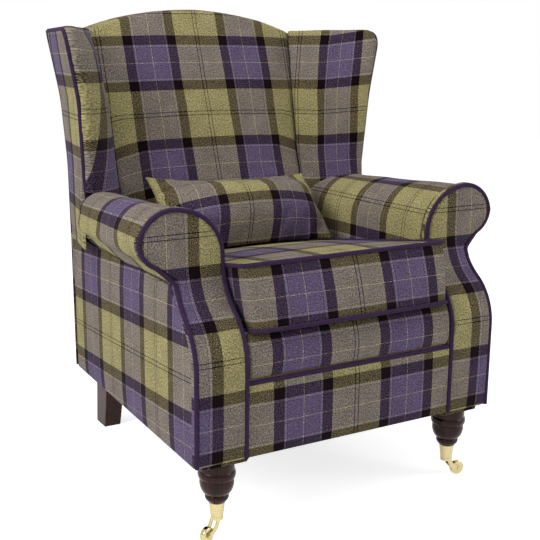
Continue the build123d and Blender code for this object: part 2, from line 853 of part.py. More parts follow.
with BuildPart() as front_leg_block_right:
    box_between(leg_block_x, leg_block_y, (base_z, rail_bottom_z + block_height))
    with BuildSketch(Plane.XY.offset(leg_top_z)):
        wrap_y = (leg_y - leg_collar_radius - wrap_front_gap, leg_block_y[1])
        with Locations((sum(wrap_x) / 2, sum(wrap_y) / 2)):
            sides = (wrap_x[1] - wrap_x[0], wrap_y[1] - wrap_y[0])
            RectangleRounded(*sides, wrap_corner_radius)
    extrude(amount=base_z - leg_top_z)

rear_block_x = (post_inner_x - block_height, post_inner_x)
rear_rail_front_y = rear_y - panel_thickness - rail_thickness

with BuildPart() as rear_corner_block_right:
    depth = (rear_rail_front_y - rear_block_depth, rear_rail_front_y)
    box_between(rear_block_x, depth, (rail_bottom_z, rail_bottom_z + block_height))

with BuildPart() as rear_leg_right:
    for z, (x_from, x_to, y_from, y_to) in ((0, rear_leg_foot), (rail_bottom_z, rear_leg_top)):
        with BuildSketch(Plane.XY.offset(z)):
            with Locations(((x_from + x_to) / 2, (y_from + y_to) / 2)):
                Rectangle(x_to - x_from, y_to - y_from)
    loft(ruled=True)

with BuildPart() as dust_cover:
    with BuildSketch(Plane.XY.offset(rail_bottom_z - dust_cover_thickness)):
        with BuildLine():
            ends = (rail_front_y, rear_y - panel_thickness)
            right = [(side_x(y) - panel_thickness, y) for y in ends]
            Polyline(*right, *[(-x, y) for x, y in reversed(right)], close=True)
        make_face()
    extrude(amount=dust_cover_thickness)
    for piece in (front_leg_block_right, rear_leg_right):
        add(piece.part, mode=Mode.SUBTRACT)
        add(mirrored(piece).part, mode=Mode.SUBTRACT)

# ---------------------------------------------------------------- front legs and castors
wheel_z = wheel_radius
cup_slope = (cup_top_radius - cup_bottom_radius) / (cup_top_z - cup_bottom_z)
cup_floor_z = cup_bottom_z + cup_floor
horn_top_z = cup_bottom_z - castor_gap
horn_bottom_z = horn_top_z - horn_plate_thickness


def cup_radius(z):
    """Outer radius of the castor's cup at height z."""
    return cup_bottom_radius + (z - cup_bottom_z) * cup_slope


def rod(radius, low, high):
    """A round rod on the leg's axis, given by its lowest and highest z."""
    with Locations((leg_x, leg_y, (low + high) / 2)):
        Cylinder(radius, high - low)


with BuildPart() as front_leg_right:
    with BuildSketch(Plane(origin=(leg_x, leg_y, 0), x_dir=(1, 0, 0), z_dir=(0, -1, 0))):
        with BuildLine():
            collar_top_z, collar_z, collar_foot_z = leg_collar
            neck_radius = leg_vase_radius + leg_neck_step
            top = Line((0, leg_top_z), (neck_radius, leg_top_z))
            neck = Line(top @ 1, (neck_radius, collar_top_z))
            collar_foot = (leg_collar_radius - leg_collar_undercut, collar_foot_z)
            lip = ThreePointArc(neck @ 1, (leg_collar_radius, collar_z), collar_foot)
            groove = Line(lip @ 1, (leg_vase_radius - leg_groove_depth, leg_groove_z))
            belly = ThreePointArc(groove @ 1, (leg_vase_radius, leg_vase_z), leg_vase_hip)
            vase_foot = (leg_ring_radius - leg_ring_undercut, leg_vase_foot_z)
            vase = ThreePointArc(belly @ 1, leg_vase_waist, vase_foot)
            ring = ThreePointArc(vase @ 1, (leg_ring_radius, leg_ring_z), leg_ring_foot)
            step_out, step_up = leg_ankle_step
            ankle = Line(ring @ 1, (cup_top_radius + step_out, cup_top_z + step_up))
            step = Line(ankle @ 1, (cup_radius(cup_top_z) - cup_wall, cup_top_z))
            foot_radius = cup_radius(cup_floor_z) - cup_wall
            tenon = Line(step @ 1, (foot_radius, cup_floor_z))
            Polyline(tenon @ 1, (0, cup_floor_z), top @ 0)
        make_face()
    revolve(axis=Axis((leg_x, leg_y, 0), (0, 0, 1)))

with BuildPart() as castor_stem_right:
    rod(rivet_radius, cup_floor_z, cup_floor_z + rivet_height)
    rod(stem_radius, horn_bottom_z - castor_gap, cup_floor_z)
    low = horn_bottom_z - castor_gap - rivet_height
    rod(rivet_radius, low, low + rivet_height)

with BuildPart() as castor_cup_right:
    with BuildSketch(Plane.XY.offset(cup_bottom_z)):
        with Locations((leg_x, leg_y)):
            Circle(cup_bottom_radius)
    with BuildSketch(Plane.XY.offset(cup_top_z)):
        with Locations((leg_x, leg_y)):
            Circle(cup_top_radius)
    loft()
    for piece in (front_leg_right, castor_stem_right):
        add(piece.part, mode=Mode.SUBTRACT)

with BuildPart() as castor_screws_right:
    for angle in screw_angles:
        out = (cos(radians(angle)), sin(radians(angle)), 0)
        with BuildSketch(Plane(origin=(leg_x, leg_y, screw_z), z_dir=out).offset(
            cup_radius(screw_z) + screw_head_proud - screw_head_height
        )):
            Circle(screw_head_radius)
        extrude(amount=screw_head_height)
        with BuildSketch(Plane(origin=(leg_x, leg_y, screw_z), z_dir=out).offset(
            cup_radius(screw_z) + screw_head_proud - screw_length
        )):
            Circle(screw_radius)
        extrude(amount=screw_length - screw_head_height)

with BuildPart() as leg_bolts:
    for x in (-leg_x, leg_x):
        with Locations((x, leg_y, leg_top_z - leg_bolt_sink)):
            Cylinder(bolt_radius, bolt_length)
        bolt_x, bolt_y = rear_bolt_place
        with Locations((x / leg_x * bolt_x, bolt_y, rail_bottom_z - rear_bolt_sink)):
            Cylinder(bolt_radius, bolt_length)

for piece in (front_leg_right, front_leg_block_right, rear_corner_block_right, rear_leg_right):
    with piece:
        add(leg_bolts.part, mode=Mode.SUBTRACT)
for piece in (front_leg_right, castor_cup_right):
    with piece:
        add(castor_screws_right.part, mode=Mode.SUBTRACT)
        add(castor_stem_right.part, mode=Mode.SUBTRACT)


def castor_side(x, angle, across=0):
    """A plane along the castor's trail, with its x axis trailing and its y axis up."""
    trail = (cos(radians(angle)), sin(radians(angle)), 0)
    square = (trail[1], -trail[0], 0)
    return Plane(origin=(x, leg_y, 0), x_dir=trail, z_dir=square).offset(across)


def from_axle(trail, rise):
    """A point of the horn's side view, given from the axle's middle."""
    return castor_trail + trail, wheel_z + rise


arm_from = wheel_width / 2 + wheel_side_gap
axle_half = arm_from + horn_arm_thickness
cap_radius = axle_radius + axle_cap

for side, x, angle in (
    ("left", -leg_x, castor_left_angle),
    ("right", leg_x, castor_right_angle),
):
    with BuildPart() as horn:
        with Locations((x, leg_y, (horn_top_z + horn_bottom_z) / 2)):
            Cylinder(cup_bottom_radius, horn_plate_thickness)
        for across in (-axle_half, arm_from):
            with BuildSketch(castor_side(x, angle, across)):
                with BuildLine():
                    shoulder, drop = horn_shoulder
                    top = Line((0, horn_top_z - drop), (shoulder, horn_top_z - drop))
                    inner = ThreePointArc(top @ 1, horn_back_bend, from_axle(*horn_boss_top))
                    side_at, foot_at = from_axle(*horn_boss_side), from_axle(*horn_boss_foot)
                    boss = ThreePointArc(inner @ 1, side_at, foot_at)
                    ThreePointArc(boss @ 1, horn_front_bend, top @ 0)
                make_face()
                with Locations((castor_trail, wheel_z)):
                    Circle(axle_radius, mode=Mode.SUBTRACT)
            extrude(amount=horn_arm_thickness)
        with Locations((x, leg_y, (horn_top_z + horn_bottom_z) / 2)):
            Cylinder(stem_radius + running_clearance, horn_plate_thickness, mode=Mode.SUBTRACT)

    with BuildPart() as wheel:
        with BuildSketch(castor_side(x, angle, -wheel_width / 2)):
            with Locations((castor_trail, wheel_z)):
                Circle(wheel_radius)
        extrude(amount=wheel_width)
        fillet(wheel.edges(), radius=wheel_edge_radius)
        with BuildSketch(castor_side(x, angle, -wheel_width / 2)):
            with Locations((castor_trail, wheel_z)):
                Circle(axle_radius + running_clearance)
        extrude(amount=wheel_width, mode=Mode.SUBTRACT)

    with BuildPart() as axle:
        for across, radius, length in (
            (-axle_half, axle_radius, 2 * axle_half),
            (-axle_half - axle_cap, cap_radius, axle_cap),
            (axle_half, cap_radius, axle_cap),
        ):
            with BuildSketch(castor_side(x, angle, across)):
                with Locations((castor_trail, wheel_z)):
                    Circle(radius)
            extrude(amount=length)

    pieces[f"castor_horn_{side}"] = horn
    pieces[f"castor_wheel_{side}"] = wheel
    pieces[f"castor_axle_{side}"] = axle

# ---------------------------------------------------------------- seat cushion
cushion_side_x = cushion_half_width - cushion_side_inset


def cushion_section(share, cover):
    """Side view of the seat cushion: share is 1 in its middle and 0 at its ends."""
    drawn_in = cushion_end_draw * (1 - share) + cover
    crown = cushion_crown * share + cushion_end_crown * (1 - share)
    top = cushion_height - cover
    foot_past, middle_past, top_past = (cushion_length + past - drawn_in for past in cushion_rear)
    low = (drawn_in, cover)
    swell = (drawn_in + cushion_front_swell, cushion_height / 2)
    front = ThreePointArc(low, swell, (drawn_in + cushion_lean, top))
    over = ThreePointArc(front @ 1, (cushion_length / 2, top + crown), (top_past, top))
    rear = ThreePointArc(over @ 1, (middle_past, cushion_height / 2), (foot_past, cover))
    Line(rear @ 1, low)


right_stations = [*cushion_shares, (cushion_side_x, 0)]
cushion_stations = [(-x, share) for x, share in right_stations[:0:-1]] + right_stations
foot_up, foot_front, foot_rear = cushion_piping_foot
top_up, top_front, top_rear = cushion_piping_top

with BuildPart() as seat_cushion_piping:
    for up, front, rear in (
        (foot_up, foot_front, cushion_length + foot_rear),
        (cushion_height + top_up, cushion_lean + top_front, cushion_length + top_rear),
    ):
        x = cushion_half_width - cushion_piping_inset
        corners = ((-x, front), (x, front), (x, rear), (-x, rear))
        with BuildLine(seat_level(up)) as ring:
            FilletPolyline(*corners, close=True, radius=cushion_piping_corner)
        with BuildSketch(Plane(origin=ring.line @ 0, z_dir=ring.line % 0)):
            Circle(piping_radius)
        sweep()

with BuildPart() as seat_cushion_foam:
    for x, share in cushion_stations:
        inner_x = max(min(x, cushion_side_x - cushion_cover), cushion_cover - cushion_side_x)
        with BuildSketch(seat_plane(inner_x)):
            with BuildLine():
                cushion_section(share, cushion_cover)
            make_face()
    loft(ruled=True)

with BuildPart() as seat_cushion_cover:
    for x, share in cushion_stations:
        with BuildSketch(seat_plane(x)):
            with BuildLine():
                cushion_section(share, 0)
            make_face()
    loft(ruled=True)
    for piece in (seat_cushion_foam, seat_cushion_piping):
        add(piece.part, mode=Mode.SUBTRACT)

# ---------------------------------------------------------------- lumbar cushion
# share of the half width, and the share of the swell that is left there
lumbar_shares = ((0, 1), (0.5, 0.85), (0.69, 0.67), (0.87, 0.38), (1, 0.08))


def lumbar_plane(share):
    """A plane across the lumbar cushion, with its x axis up the cushion."""
    tilt = radians(lumbar_tilt)
    foot = seat_point(cushion_length - lumbar_foot_back, cushion_height + lumbar_foot_rise)
    origin = (share * lumbar_half_width, *foot)
    return Plane(origin=origin, x_dir=(0, cos(tilt), sin(tilt)), z_dir=(1, 0, 0))


def lens(share, cover):
    """Side view of the lumbar cushion: two arcs that meet in an edge at foot and top."""
    edge = lumbar_edge_cover * cover / lumbar_cover
    low = (edge, 0)
    high = (lumbar_height - edge, 0)
    middle = lumbar_height / 2
    front = ThreePointArc(low, (middle, lumbar_front_swell * share - cover), high)
    ThreePointArc(front @ 1, (middle, cover - lumbar_rear_swell * share), low)


def lumbar_stations(count):
    """The first so many sections to either side of the middle, from left to right."""
    return [(-at, share) for at, share in lumbar_shares[count - 1:0:-1]] + [*lumbar_shares[:count]]


with BuildPart() as lumbar_cushion_filling:
    for at, share in lumbar_stations(len(lumbar_shares) - 1):
        with BuildSketch(lumbar_plane(at)):
            with BuildLine():
                lens(share, lumbar_cover)
            make_face()
    loft(ruled=True)

with BuildPart() as lumbar_cushion_cover:
    for at, share in lumbar_stations(len(lumbar_shares)):
        with BuildSketch(lumbar_plane(at)):
            with BuildLine():
                lens(share, 0)
            make_face()
    loft(ruled=True)
    add(lumbar_cushion_filling.part, mode=Mode.SUBTRACT)

# ---------------------------------------------------------------- every piece, under its name


def pair(left, right):
    """Two like pieces as one node, side by side."""
    with BuildPart() as both:
        add(left.part)
        add(right.part)
    return both


for name, piece in (
    ("side_rail", side_rail_right),
    ("back_post", post_right),
    ("arm_stump", arm_stump_right),
    ("arm_board", arm_board_right),
    ("wing_board", wing_board_right),
    ("arm_pad", arm_pad_right),
    ("arm_facing", arm_facing_right),
    ("arm_piping", arm_piping_right),
    ("outside_arm", outside_arm_right),
    ("wing_pad", wing_pad_right),
    ("outside_wing", outside_wing_right),
    ("wing_piping", wing_piping_right),
    ("front_leg", front_leg_right),
    ("rear_leg", rear_leg_right),
    ("castor_cup", castor_cup_right),
):
    pieces[f"{name}_left"] = mirrored(piece)
    pieces[f"{name}_right"] = piece

for name, piece in (
    ("front_leg_blocks", front_leg_block_right),
    ("rear_corner_blocks", rear_corner_block_right),
    ("castor_screws", castor_screws_right),
    ("castor_stems", castor_stem_right),
):
    pieces[name] = pair(mirrored(piece), piece)

pieces |= {
    "front_rail": front_rail,
    "rear_rail": rear_rail,
    "back_top_rail": back_top_rail,
    "back_lower_rail": back_lower_rail,
    "back_webbing": back_webbing,
    "inside_back": inside_back,
    "outside_back": outside_back,
    "zigzag_springs": zigzag_springs,
    "spring_clips": spring_clips,
    "seat_platform": seat_platform,
    "seat_lip": seat_lip,
    "front_border": front_border,
    "front_border_piping": front_border_piping,
    "dust_cover": dust_cover,
    "leg_bolts": leg_bolts,
    "seat_cushion_cover": seat_cushion_cover,
    "seat_cushion_foam": seat_cushion_foam,
    "seat_cushion_piping": seat_cushion_piping,
    "lumbar_cushion_cover": lumbar_cushion_cover,
    "lumbar_cushion_filling": lumbar_cushion_filling,
}

os.makedirs("parts", exist_ok=True)
for name, piece in pieces.items():
    piece.part.label = name
    export_step(piece.part, f"parts/{name}.step")
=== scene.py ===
"""High-back wing armchair in plaid wool: the visible surfaces over its fixed frame.

Metres, +Z up, -Y is the front. "left" and "right" are the viewer's, seen from the front.
"""

import json
import math

import bmesh
import bpy
import numpy as np
from bpy.props import FloatProperty, IntProperty, PointerProperty, StringProperty
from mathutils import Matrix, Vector, noise


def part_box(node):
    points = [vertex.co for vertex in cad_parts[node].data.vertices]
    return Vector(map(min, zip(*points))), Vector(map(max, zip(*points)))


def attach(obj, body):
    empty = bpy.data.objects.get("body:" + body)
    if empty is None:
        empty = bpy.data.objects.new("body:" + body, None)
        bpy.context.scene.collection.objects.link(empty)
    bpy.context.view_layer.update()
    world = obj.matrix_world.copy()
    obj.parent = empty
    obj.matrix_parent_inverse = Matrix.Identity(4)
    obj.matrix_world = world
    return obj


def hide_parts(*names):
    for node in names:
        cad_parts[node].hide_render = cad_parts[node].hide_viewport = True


bl_info = {
    "name": "Wing Armchair",
    "version": (1, 0, 0),
    "blender": (4, 5, 0),
    "location": "View3D > Sidebar > Armchair",
    "description": "Upholstery, cushions, polished legs and brass castors of a wing armchair",
    "category": "Object",
}

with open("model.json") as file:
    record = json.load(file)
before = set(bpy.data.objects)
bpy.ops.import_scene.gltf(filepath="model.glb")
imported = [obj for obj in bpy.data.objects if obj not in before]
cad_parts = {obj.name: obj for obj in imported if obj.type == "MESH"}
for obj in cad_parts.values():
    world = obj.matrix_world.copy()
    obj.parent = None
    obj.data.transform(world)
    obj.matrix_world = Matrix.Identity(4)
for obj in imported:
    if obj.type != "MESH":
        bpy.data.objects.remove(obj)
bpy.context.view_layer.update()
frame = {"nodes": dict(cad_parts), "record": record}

MM = 0.001
SIDES = ("left", "right")
THREAD = 1.4 * MM

# Heights at which the wing and the back are measured, and their outline there
BACK_LEVELS = (0.540, 0.700, 0.850, 1.003)
WING_FRONT_X = (0.386, 0.384, 0.393, 0.421)
WING_FRONT_Y = (0.112, 0.112, 0.104, 0.103)
WING_SEAM_X = (0.254, 0.255, 0.260, 0.277)
BACK_CORNER_X = (0.346, 0.347, 0.350, 0.364)
BACK_CORNER_Y = (0.315, 0.318, 0.344, 0.392)
WING_TOP = 1.003
WING_FULLNESS = 0.016
WING_ROLL = {"left": 0.001, "right": 0.007}
WING_PIPING = {"left": (-0.003, 0.010), "right": (0.004, 0.016)}
WING_TUCK, WING_TUCK_LEVEL, WING_TUCK_FADE = 0.002, 0.630, 0.030
WING_RISE, WING_RISE_FADE = 0.006, 0.060
WING_FACES = (0.59, 0.81)
WING_FADE = 0.050
WING_EDGE = 0.012
WING_FOOT = 0.5195
WING_PIPING_FOOT = (-0.008, 0.004, 0.600)
WING_PIPING_SETBACK = 0.006
WING_PIPING_BENDS = (0.4, 0.4, 0.040, 0.016, 0.4, 0.4)
BACK_RAKE = math.radians(19.5)
BACK_FACE = (0.188, 0.653)
SEAT_PITCH = math.radians(9)
CUSHION_FRONT = (-0.405, 0.433)
CUSHION_HALF_WIDTH = 0.245
CUSHION_LENGTH = 0.481
CUSHION_HEIGHT = 0.128
CUSHION_LEAN = 0.020
CUSHION_CROWN = 0.010
LUMBAR_FOOT = (0.0044, 0.5136)
LUMBAR_SIZE = (0.440, 0.212)
LUMBAR_SWELL = (0.052, 0.078)
LUMBAR_TILT = math.radians(46.5)
LUMBAR_DROOP = 0.009
LUMBAR_SAG = 0.017
LUMBAR_DRAWN = (0.012, 0.010)
LUMBAR_EDGE = 0.0015

# Base, and the outline of the arm front as X from the middle of the chair and Z
FRONT = -0.397
BASE = 0.178
BASE_HALF_WIDTH = 0.370
LIP_FOOT = 0.334
ARM_SHOULDER = (0.252, 0.560)
ARM_TOP = (0.340, 0.666)
ARM_OUTER = (0.439, 0.605)
ARM_INNER_SHARES = (0.28, 0.67)
ARM_OUTER_SHARES = (0.72, 0.76)
ARM_UNDERSIDE = ((0.009, 0.030), (0.036, 0.053))
ARM_NECK = ((0.002, 0.520), (0.003, 0.500), (0.0, 0.455))
ARM_FULLNESS = 0.018
ARM_FULL_FROM = (0.335, -0.300)
ARM_FULL_OVER = (0.030, 0.350, 0.045)
ARM_TUCK = 0.004
SCROLL_FOOT = 0.365
SCROLL_TOP = 0.565
SCROLL_SETBACK = 0.097
SCROLL_SPARE = 0.020
ROLL_MIDDLE = 0.582
ROLL_RADIUS = 0.090

# Where the middle of a green stripe lies on each piece. The cloth of a wing is pulled to fit, so
# it is given at the wing's front edge at one level, then per metre back, per metre up and both
BACK_CLOTH = 0.161
OUTSIDE_BACK_CLOTH = 0.800
WING_LEVEL = 0.800
WING_WARP = {
    "left": (0.0362, 0.3694, -0.1704, -0.5848),
    "right": (0.2412, -1.3871, 0.0753, 0.6314),
}
WING_WEFT = {
    "left": (-0.0248, 0.0348, 0.978, -0.0656),
    "right": (-0.0137, 0.1094, 1.0072, 0.1381),
}
WING_EASED = 0.130
OUTSIDE_WING_CLOTH = (0.158, 0.8115)
ARM_WARP = 0.040
ARM_WEFT = 0.6105
FACING_WARP = 0.248
FACING_WEFT = 0.612
OUTSIDE_ARM_WEFT = 0.322
LIP_CLOTH = 0.100
BORDER_CLOTH = (0.004, 0.3725)
CUSHION_CLOTH = (0.0105, 0.0655)
LUMBAR_CLOTH = (0.0105, 0.186)

# How the cloth is eased as shares of its length, how its rows and stripes slope as a rise over a
# run, and how far it goes flat before it bends over an edge
CREST_BEND = 0.015
LIP_BEND = 0.012
OUTSIDE_WING_EASE = 0.942
ARM_EASE, ARM_INSIDE = 0.89, 0.030
OUTSIDE_ARM_EASE, OUTSIDE_ARM_FALL = 0.97, 0.076
CUSHION_EASE = 1.07
LUMBAR_EASE, LUMBAR_LEAN, LUMBAR_LEVEL = 1.04, 0.11, 0.587

# A face counts as turned a way where its normal has more than this share in that direction
HALF_TURNED, LEVEL, SIDEWAYS = 0.5, 0.6, 0.7

# How firmly each kind of piece is filled, and how finely its mesh is cut
LUMBAR_STRETCH = 0.03
FOLD_SPACING = 0.090
PANEL_STEP = 12 * MM
SEAT_CUSHION_GRID = (46, 46, 12)
LUMBAR_GRID = (56, 34, 1)
WELT_POINTS = 25

FLOOR_SIZE = 14
CAMERA_PLACE = (-1.13657, -1.92309, 0.95502)
CAMERA_BACKWARD = (-0.471, -0.853, 0.226)
CAMERA_LENS = 64.32
CAMERA_SENSOR = 36
CAMERA_SHIFT = (0.0743, 0.0093)
LAMP_AIM = (0, 0, 0.5)
WORLD_STRENGTH = 0.33
FLOOR_LIFT = 0.72
LAMPS = (
    ("key", 2.0, 80.0, (-3.0, -0.5, 2.2)),
    ("fill", 2.0, 44.0, (2.6, -2.4, 1.6)),
    ("top", 2.0, 28.0, (-0.3, -0.3, 3.0)),
)


# ---------------------------------------------------------------- settings


class ArmchairCloth(bpy.types.PropertyGroup):
    """Plaid wool cloth and its piping"""

    repeat: FloatProperty(
        name="Repeat",
        description="Length of one full repeat of the plaid, both ways",
        default=261 * MM,
        unit="LENGTH",
    )
    green_width: FloatProperty(
        name="Green width", description="Width of the green stripe", default=122 * MM, unit="LENGTH"
    )
    dark_width: FloatProperty(
        name="Dark width", description="Width of each dark stripe", default=24 * MM, unit="LENGTH"
    )
    line_width: FloatProperty(
        name="Line width", description="Width of the fine lines", default=2.0 * MM, unit="LENGTH"
    )
    green: StringProperty(name="Green", description="Green yarn, sRGB hex", default="8F875F")
    lilac: StringProperty(name="Lilac", description="Lilac yarn, sRGB hex", default="5B5069")
    pale: StringProperty(name="Pale", description="Lilac-grey yarn, sRGB hex", default="746A7C")
    dark: StringProperty(name="Dark", description="Aubergine yarn, sRGB hex", default="160A10")
    cream: StringProperty(name="Cream", description="Cream yarn, sRGB hex", default="CDBE8E")
    piping: StringProperty(name="Piping", description="Piping cloth, sRGB hex", default="392A42")
    piping_radius: FloatProperty(
        name="Piping radius", description="Radius of the piping", default=4.5 * MM, unit="LENGTH"
    )


class ArmchairPadding(bpy.types.PropertyGroup):
    """Padding and cushions"""

    voxel: FloatProperty(
        name="Voxel", description="Mesh size of the padding", default=6 * MM, unit="LENGTH"
    )
    steps: IntProperty(
        name="Steps", description="Frames of each cushion's simulation", default=20, min=1
    )
    pressure: FloatProperty(name="Pressure", description="Pressure in a cushion", default=4.0)
    seat_swell: FloatProperty(
        name="Seat swell",
        description="Furthest that the seat cushion's cloth may move",
        default=9 * MM,
        unit="LENGTH",
    )
    lumbar_swell: FloatProperty(
        name="Lumbar swell",
        description="Furthest that the lumbar cushion's cloth may move",
        default=10 * MM,
        unit="LENGTH",
    )


def cloth():
    """The cloth's settings."""
    return bpy.context.scene.armchair_cloth


def padding():
    """The padding's settings."""
    return bpy.context.scene.armchair_padding


# ---------------------------------------------------------------- materials


def shares(hex_colour):
    """An sRGB hex colour as RGBA shares, still in sRGB."""
    return (*(int(hex_colour[i : i + 2], 16) / 255 for i in (0, 2, 4)), 1.0)


def linear(hex_colour):
    """Linear RGBA of an sRGB hex colour."""
    channels = shares(hex_colour)[:3]
    return (*(c / 12.92 if c <= 0.04045 else ((c + 0.055) / 1.055) ** 2.4 for c in channels), 1.0)


def add_node(tree, kind, inputs=None, **settings):
    """Add a node with its settings; an input takes a value, or the socket that feeds it."""
    node = tree.nodes.new(kind)
    for name, value in settings.items():
        setattr(node, name, value)
    for name, value in (inputs or {}).items():
        if isinstance(value, bpy.types.NodeSocket):
            tree.links.new(value, node.inputs[name])
        else:
            node.inputs[name].default_value = value
    return node


def math_node(tree, operation, *values):
    """Output of a Math node over numbers or sockets."""
    return add_node(tree, "ShaderNodeMath", dict(enumerate(values)), operation=operation).outputs[0]


def noise_share(tree, vector, size, detail, **inputs):
    """Noise whose patches have a real size, mostly between 0 and 1."""
    values = {"Vector": vector, "Scale": 1 / size, "Detail": detail, **inputs}
    return add_node(tree, "ShaderNodeTexNoise", values).outputs["Fac"]


def mixed(tree, share, first, second):
    """A colour between two colours, each a value or a socket."""
    inputs = {0: share, 6: first, 7: second}
    mix = add_node(tree, "ShaderNodeMix", inputs, data_type="RGBA", clamp_factor=True)
    return mix.outputs[2]


def object_place(tree):
    """Place on the piece, in metres."""
    return add_node(tree, "ShaderNodeTexCoord").outputs["Object"]


def new_material(name):
    """An empty node material, its tree and its output node."""
    material = bpy.data.materials.new(name)
    material.use_nodes = True
    tree = material.node_tree
    tree.nodes.clear()
    return material, tree, tree.nodes.new("ShaderNodeOutputMaterial")


def finish_surface(tree, output, inputs, height=None, distance=0.0, strength=1.0):
    """Close a material with a Principled shader, bumped by height over a real distance."""
    shader = add_node(tree, "ShaderNodeBsdfPrincipled", inputs)
    if height is not None:
        bump = {"Height": height, "Distance": distance, "Strength": strength}
        relief = add_node(tree, "ShaderNodeBump", bump)
        tree.links.new(relief.outputs["Normal"], shader.inputs["Normal"])
    tree.links.new(shader.outputs["BSDF"], output.inputs["Surface"])


def stripe_stops():
    """The plaid's stripes along one repeat, from the middle of the green: start and yarn."""
    look = cloth()
    half = look.green_width / 2
    dark_end = half + look.dark_width
    middle = look.repeat / 2
    line = look.line_width
    pair = 3.4 * MM
    edge = dark_end + 6 * MM
    there = [
        (0, look.green),
        (pair, look.dark),
        (pair + line, look.green),
        (half, look.dark),
        (dark_end, look.pale),
        (edge, look.dark),
        (edge + 0.8 * line, look.lilac),
        (middle - line / 2, look.cream),
    ]
    ends = [start for start, _ in there[1:]] + [look.repeat - middle + line / 2]
    back = [(look.repeat - end, yarn) for end, (_, yarn) in zip(ends, there)]
    return [(start / look.repeat, yarn) for start, yarn in there + back[-2::-1]]


def stripes(tree, distance):
    """Colour of the yarns along one direction of the plaid, as sRGB shares."""
    share = math_node(tree, "FRACT", math_node(tree, "DIVIDE", distance, cloth().repeat))
    ramp = add_node(tree, "ShaderNodeValToRGB", {"Fac": share})
    ramp.color_ramp.interpolation = "CONSTANT"
    stops = stripe_stops()
    elements = ramp.color_ramp.elements
    elements[0].color = shares(stops[0][1])
    elements[1].position = stops[1][0]
    elements[1].color = shares(stops[1][1])
    for start, yarn in stops[2:]:
        elements.new(start).color = shares(yarn)
    return ramp.outputs["Color"]


def twill_relief(tree, across, along, vector):
    """Twill lines on the diagonal, roughened by loose fibre: 0 to 1.

    A real rib is about 2 mm apart, too fine to show, so it is drawn at 3 threads.
    """
    rib = math_node(tree, "DIVIDE", math_node(tree, "ADD", across, along), 3 * THREAD)
    wave = math_node(tree, "PINGPONG", rib, 0.5)
    fibre = noise_share(tree, vector, 2.2 * MM, 3.0, Roughness=0.65)
    fluff = math_node(tree, "MULTIPLY_ADD", fibre, 2.4, -1.2)
    return math_node(tree, "ADD", math_node(tree, "MULTIPLY_ADD", wave, 0.8, 0.3), fluff)


def heathered(tree, colour, vector, fleck=1.4, broad=0.25):
    """Linear colour of uneven dyed wool, from sRGB shares: flecked, with broad patches."""
    flecks = noise_share(tree, vector, 3.2 * MM, 1.5)
    patches = noise_share(tree, vector, 45 * MM, 2.0)
    light = math_node(tree, "MULTIPLY_ADD", flecks, fleck, 1 - fleck / 2)
    patch = math_node(tree, "MULTIPLY_ADD", patches, broad, 1 - broad / 2)
    value = math_node(tree, "MULTIPLY", light, patch)
    uneven = add_node(tree, "ShaderNodeHueSaturation", {"Color": colour, "Value": value})
    return add_node(
        tree, "ShaderNodeGamma", {"Color": uneven.outputs["Color"], "Gamma": 2.2}
    ).outputs["Color"]


WOOL = {
    "Roughness": 0.9,
    "Sheen Weight": 0.04,
    "Sheen Roughness": 0.5,
    "Specular IOR Level": 0.05,
}


def plaid_wool():
    """Wool twill, woven in a plaid and brushed: matt, flecked, with a soft nap at its edges."""
    material, tree, output = new_material("plaid_wool_twill_brushed")
    place = add_node(tree, "ShaderNodeUVMap", uv_map="cloth").outputs["UV"]
    parts = add_node(tree, "ShaderNodeSeparateXYZ", {"Vector": place})
    across, along = parts.outputs["X"], parts.outputs["Y"]
    relief = twill_relief(tree, across, along, place)
    yarns = mixed(tree, relief, stripes(tree, across), stripes(tree, along))
    colour = heathered(tree, yarns, place)
    finish_surface(tree, output, {"Base Color": colour, **WOOL}, relief, 0.35 * MM, 0.5)
    return material


def plain_wool(name, hex_colour, fleck=0.6):
    """Plain wool twill, dyed in one colour: matt, faintly ribbed and fibrous."""
    material, tree, output = new_material(name)
    place = object_place(tree)
    parts = add_node(tree, "ShaderNodeSeparateXYZ", {"Vector": place})
    slant = math_node(tree, "ADD", parts.outputs["X"], parts.outputs["Y"])
    relief = twill_relief(tree, slant, parts.outputs["Z"], place)
    colour = heathered(tree, shares(hex_colour), place, fleck, 0.1)
    finish_surface(tree, output, {"Base Color": colour, **WOOL}, relief, 0.3 * MM, 0.6)
    return material


def grained_wood(name, dark, light, grain, roughness, coat):
    """Wood with its grain running up: streaks a grain's width apart, darker pores in them."""
    material, tree, output = new_material(name)
    place = object_place(tree)
    squeezed = add_node(
        tree, "ShaderNodeMapping", {"Vector": place, "Scale": (1.0, 1.0, 0.06)}
    ).outputs["Vector"]
    streaks = noise_share(tree, squeezed, grain, 5.0, Distortion=0.6)
    pores = noise_share(tree, squeezed, 1.1 * MM, 1.0)
    share = math_node(tree, "MULTIPLY_ADD", streaks, 2.6, -0.8)
    worn = math_node(tree, "MULTIPLY_ADD", pores, 0.12, roughness - 0.06)
    inputs = {
        "Base Color": mixed(tree, share, linear(dark), linear(light)),
        "Roughness": worn,
        "Coat Weight": coat,
        "Coat Roughness": 0.08,
        "Specular IOR Level": 0.12,
    }
    finish_surface(tree, output, inputs, pores, 0.1 * MM, 0.25)
    return material


def worked_metal(name, dark, light, roughness, scratch):
    """Bare metal with faint handling marks a scratch's width apart."""
    material, tree, output = new_material(name)
    place = object_place(tree)
    marks = noise_share(tree, place, scratch, 4.0)
    inputs = {
        "Base Color": mixed(tree, marks, linear(dark), linear(light)),
        "Metallic": 1.0,
        "Roughness": math_node(tree, "MULTIPLY_ADD", marks, 0.14, roughness - 0.07),
    }
    finish_surface(tree, output, inputs, marks, 0.04 * MM, 0.3)
    return material


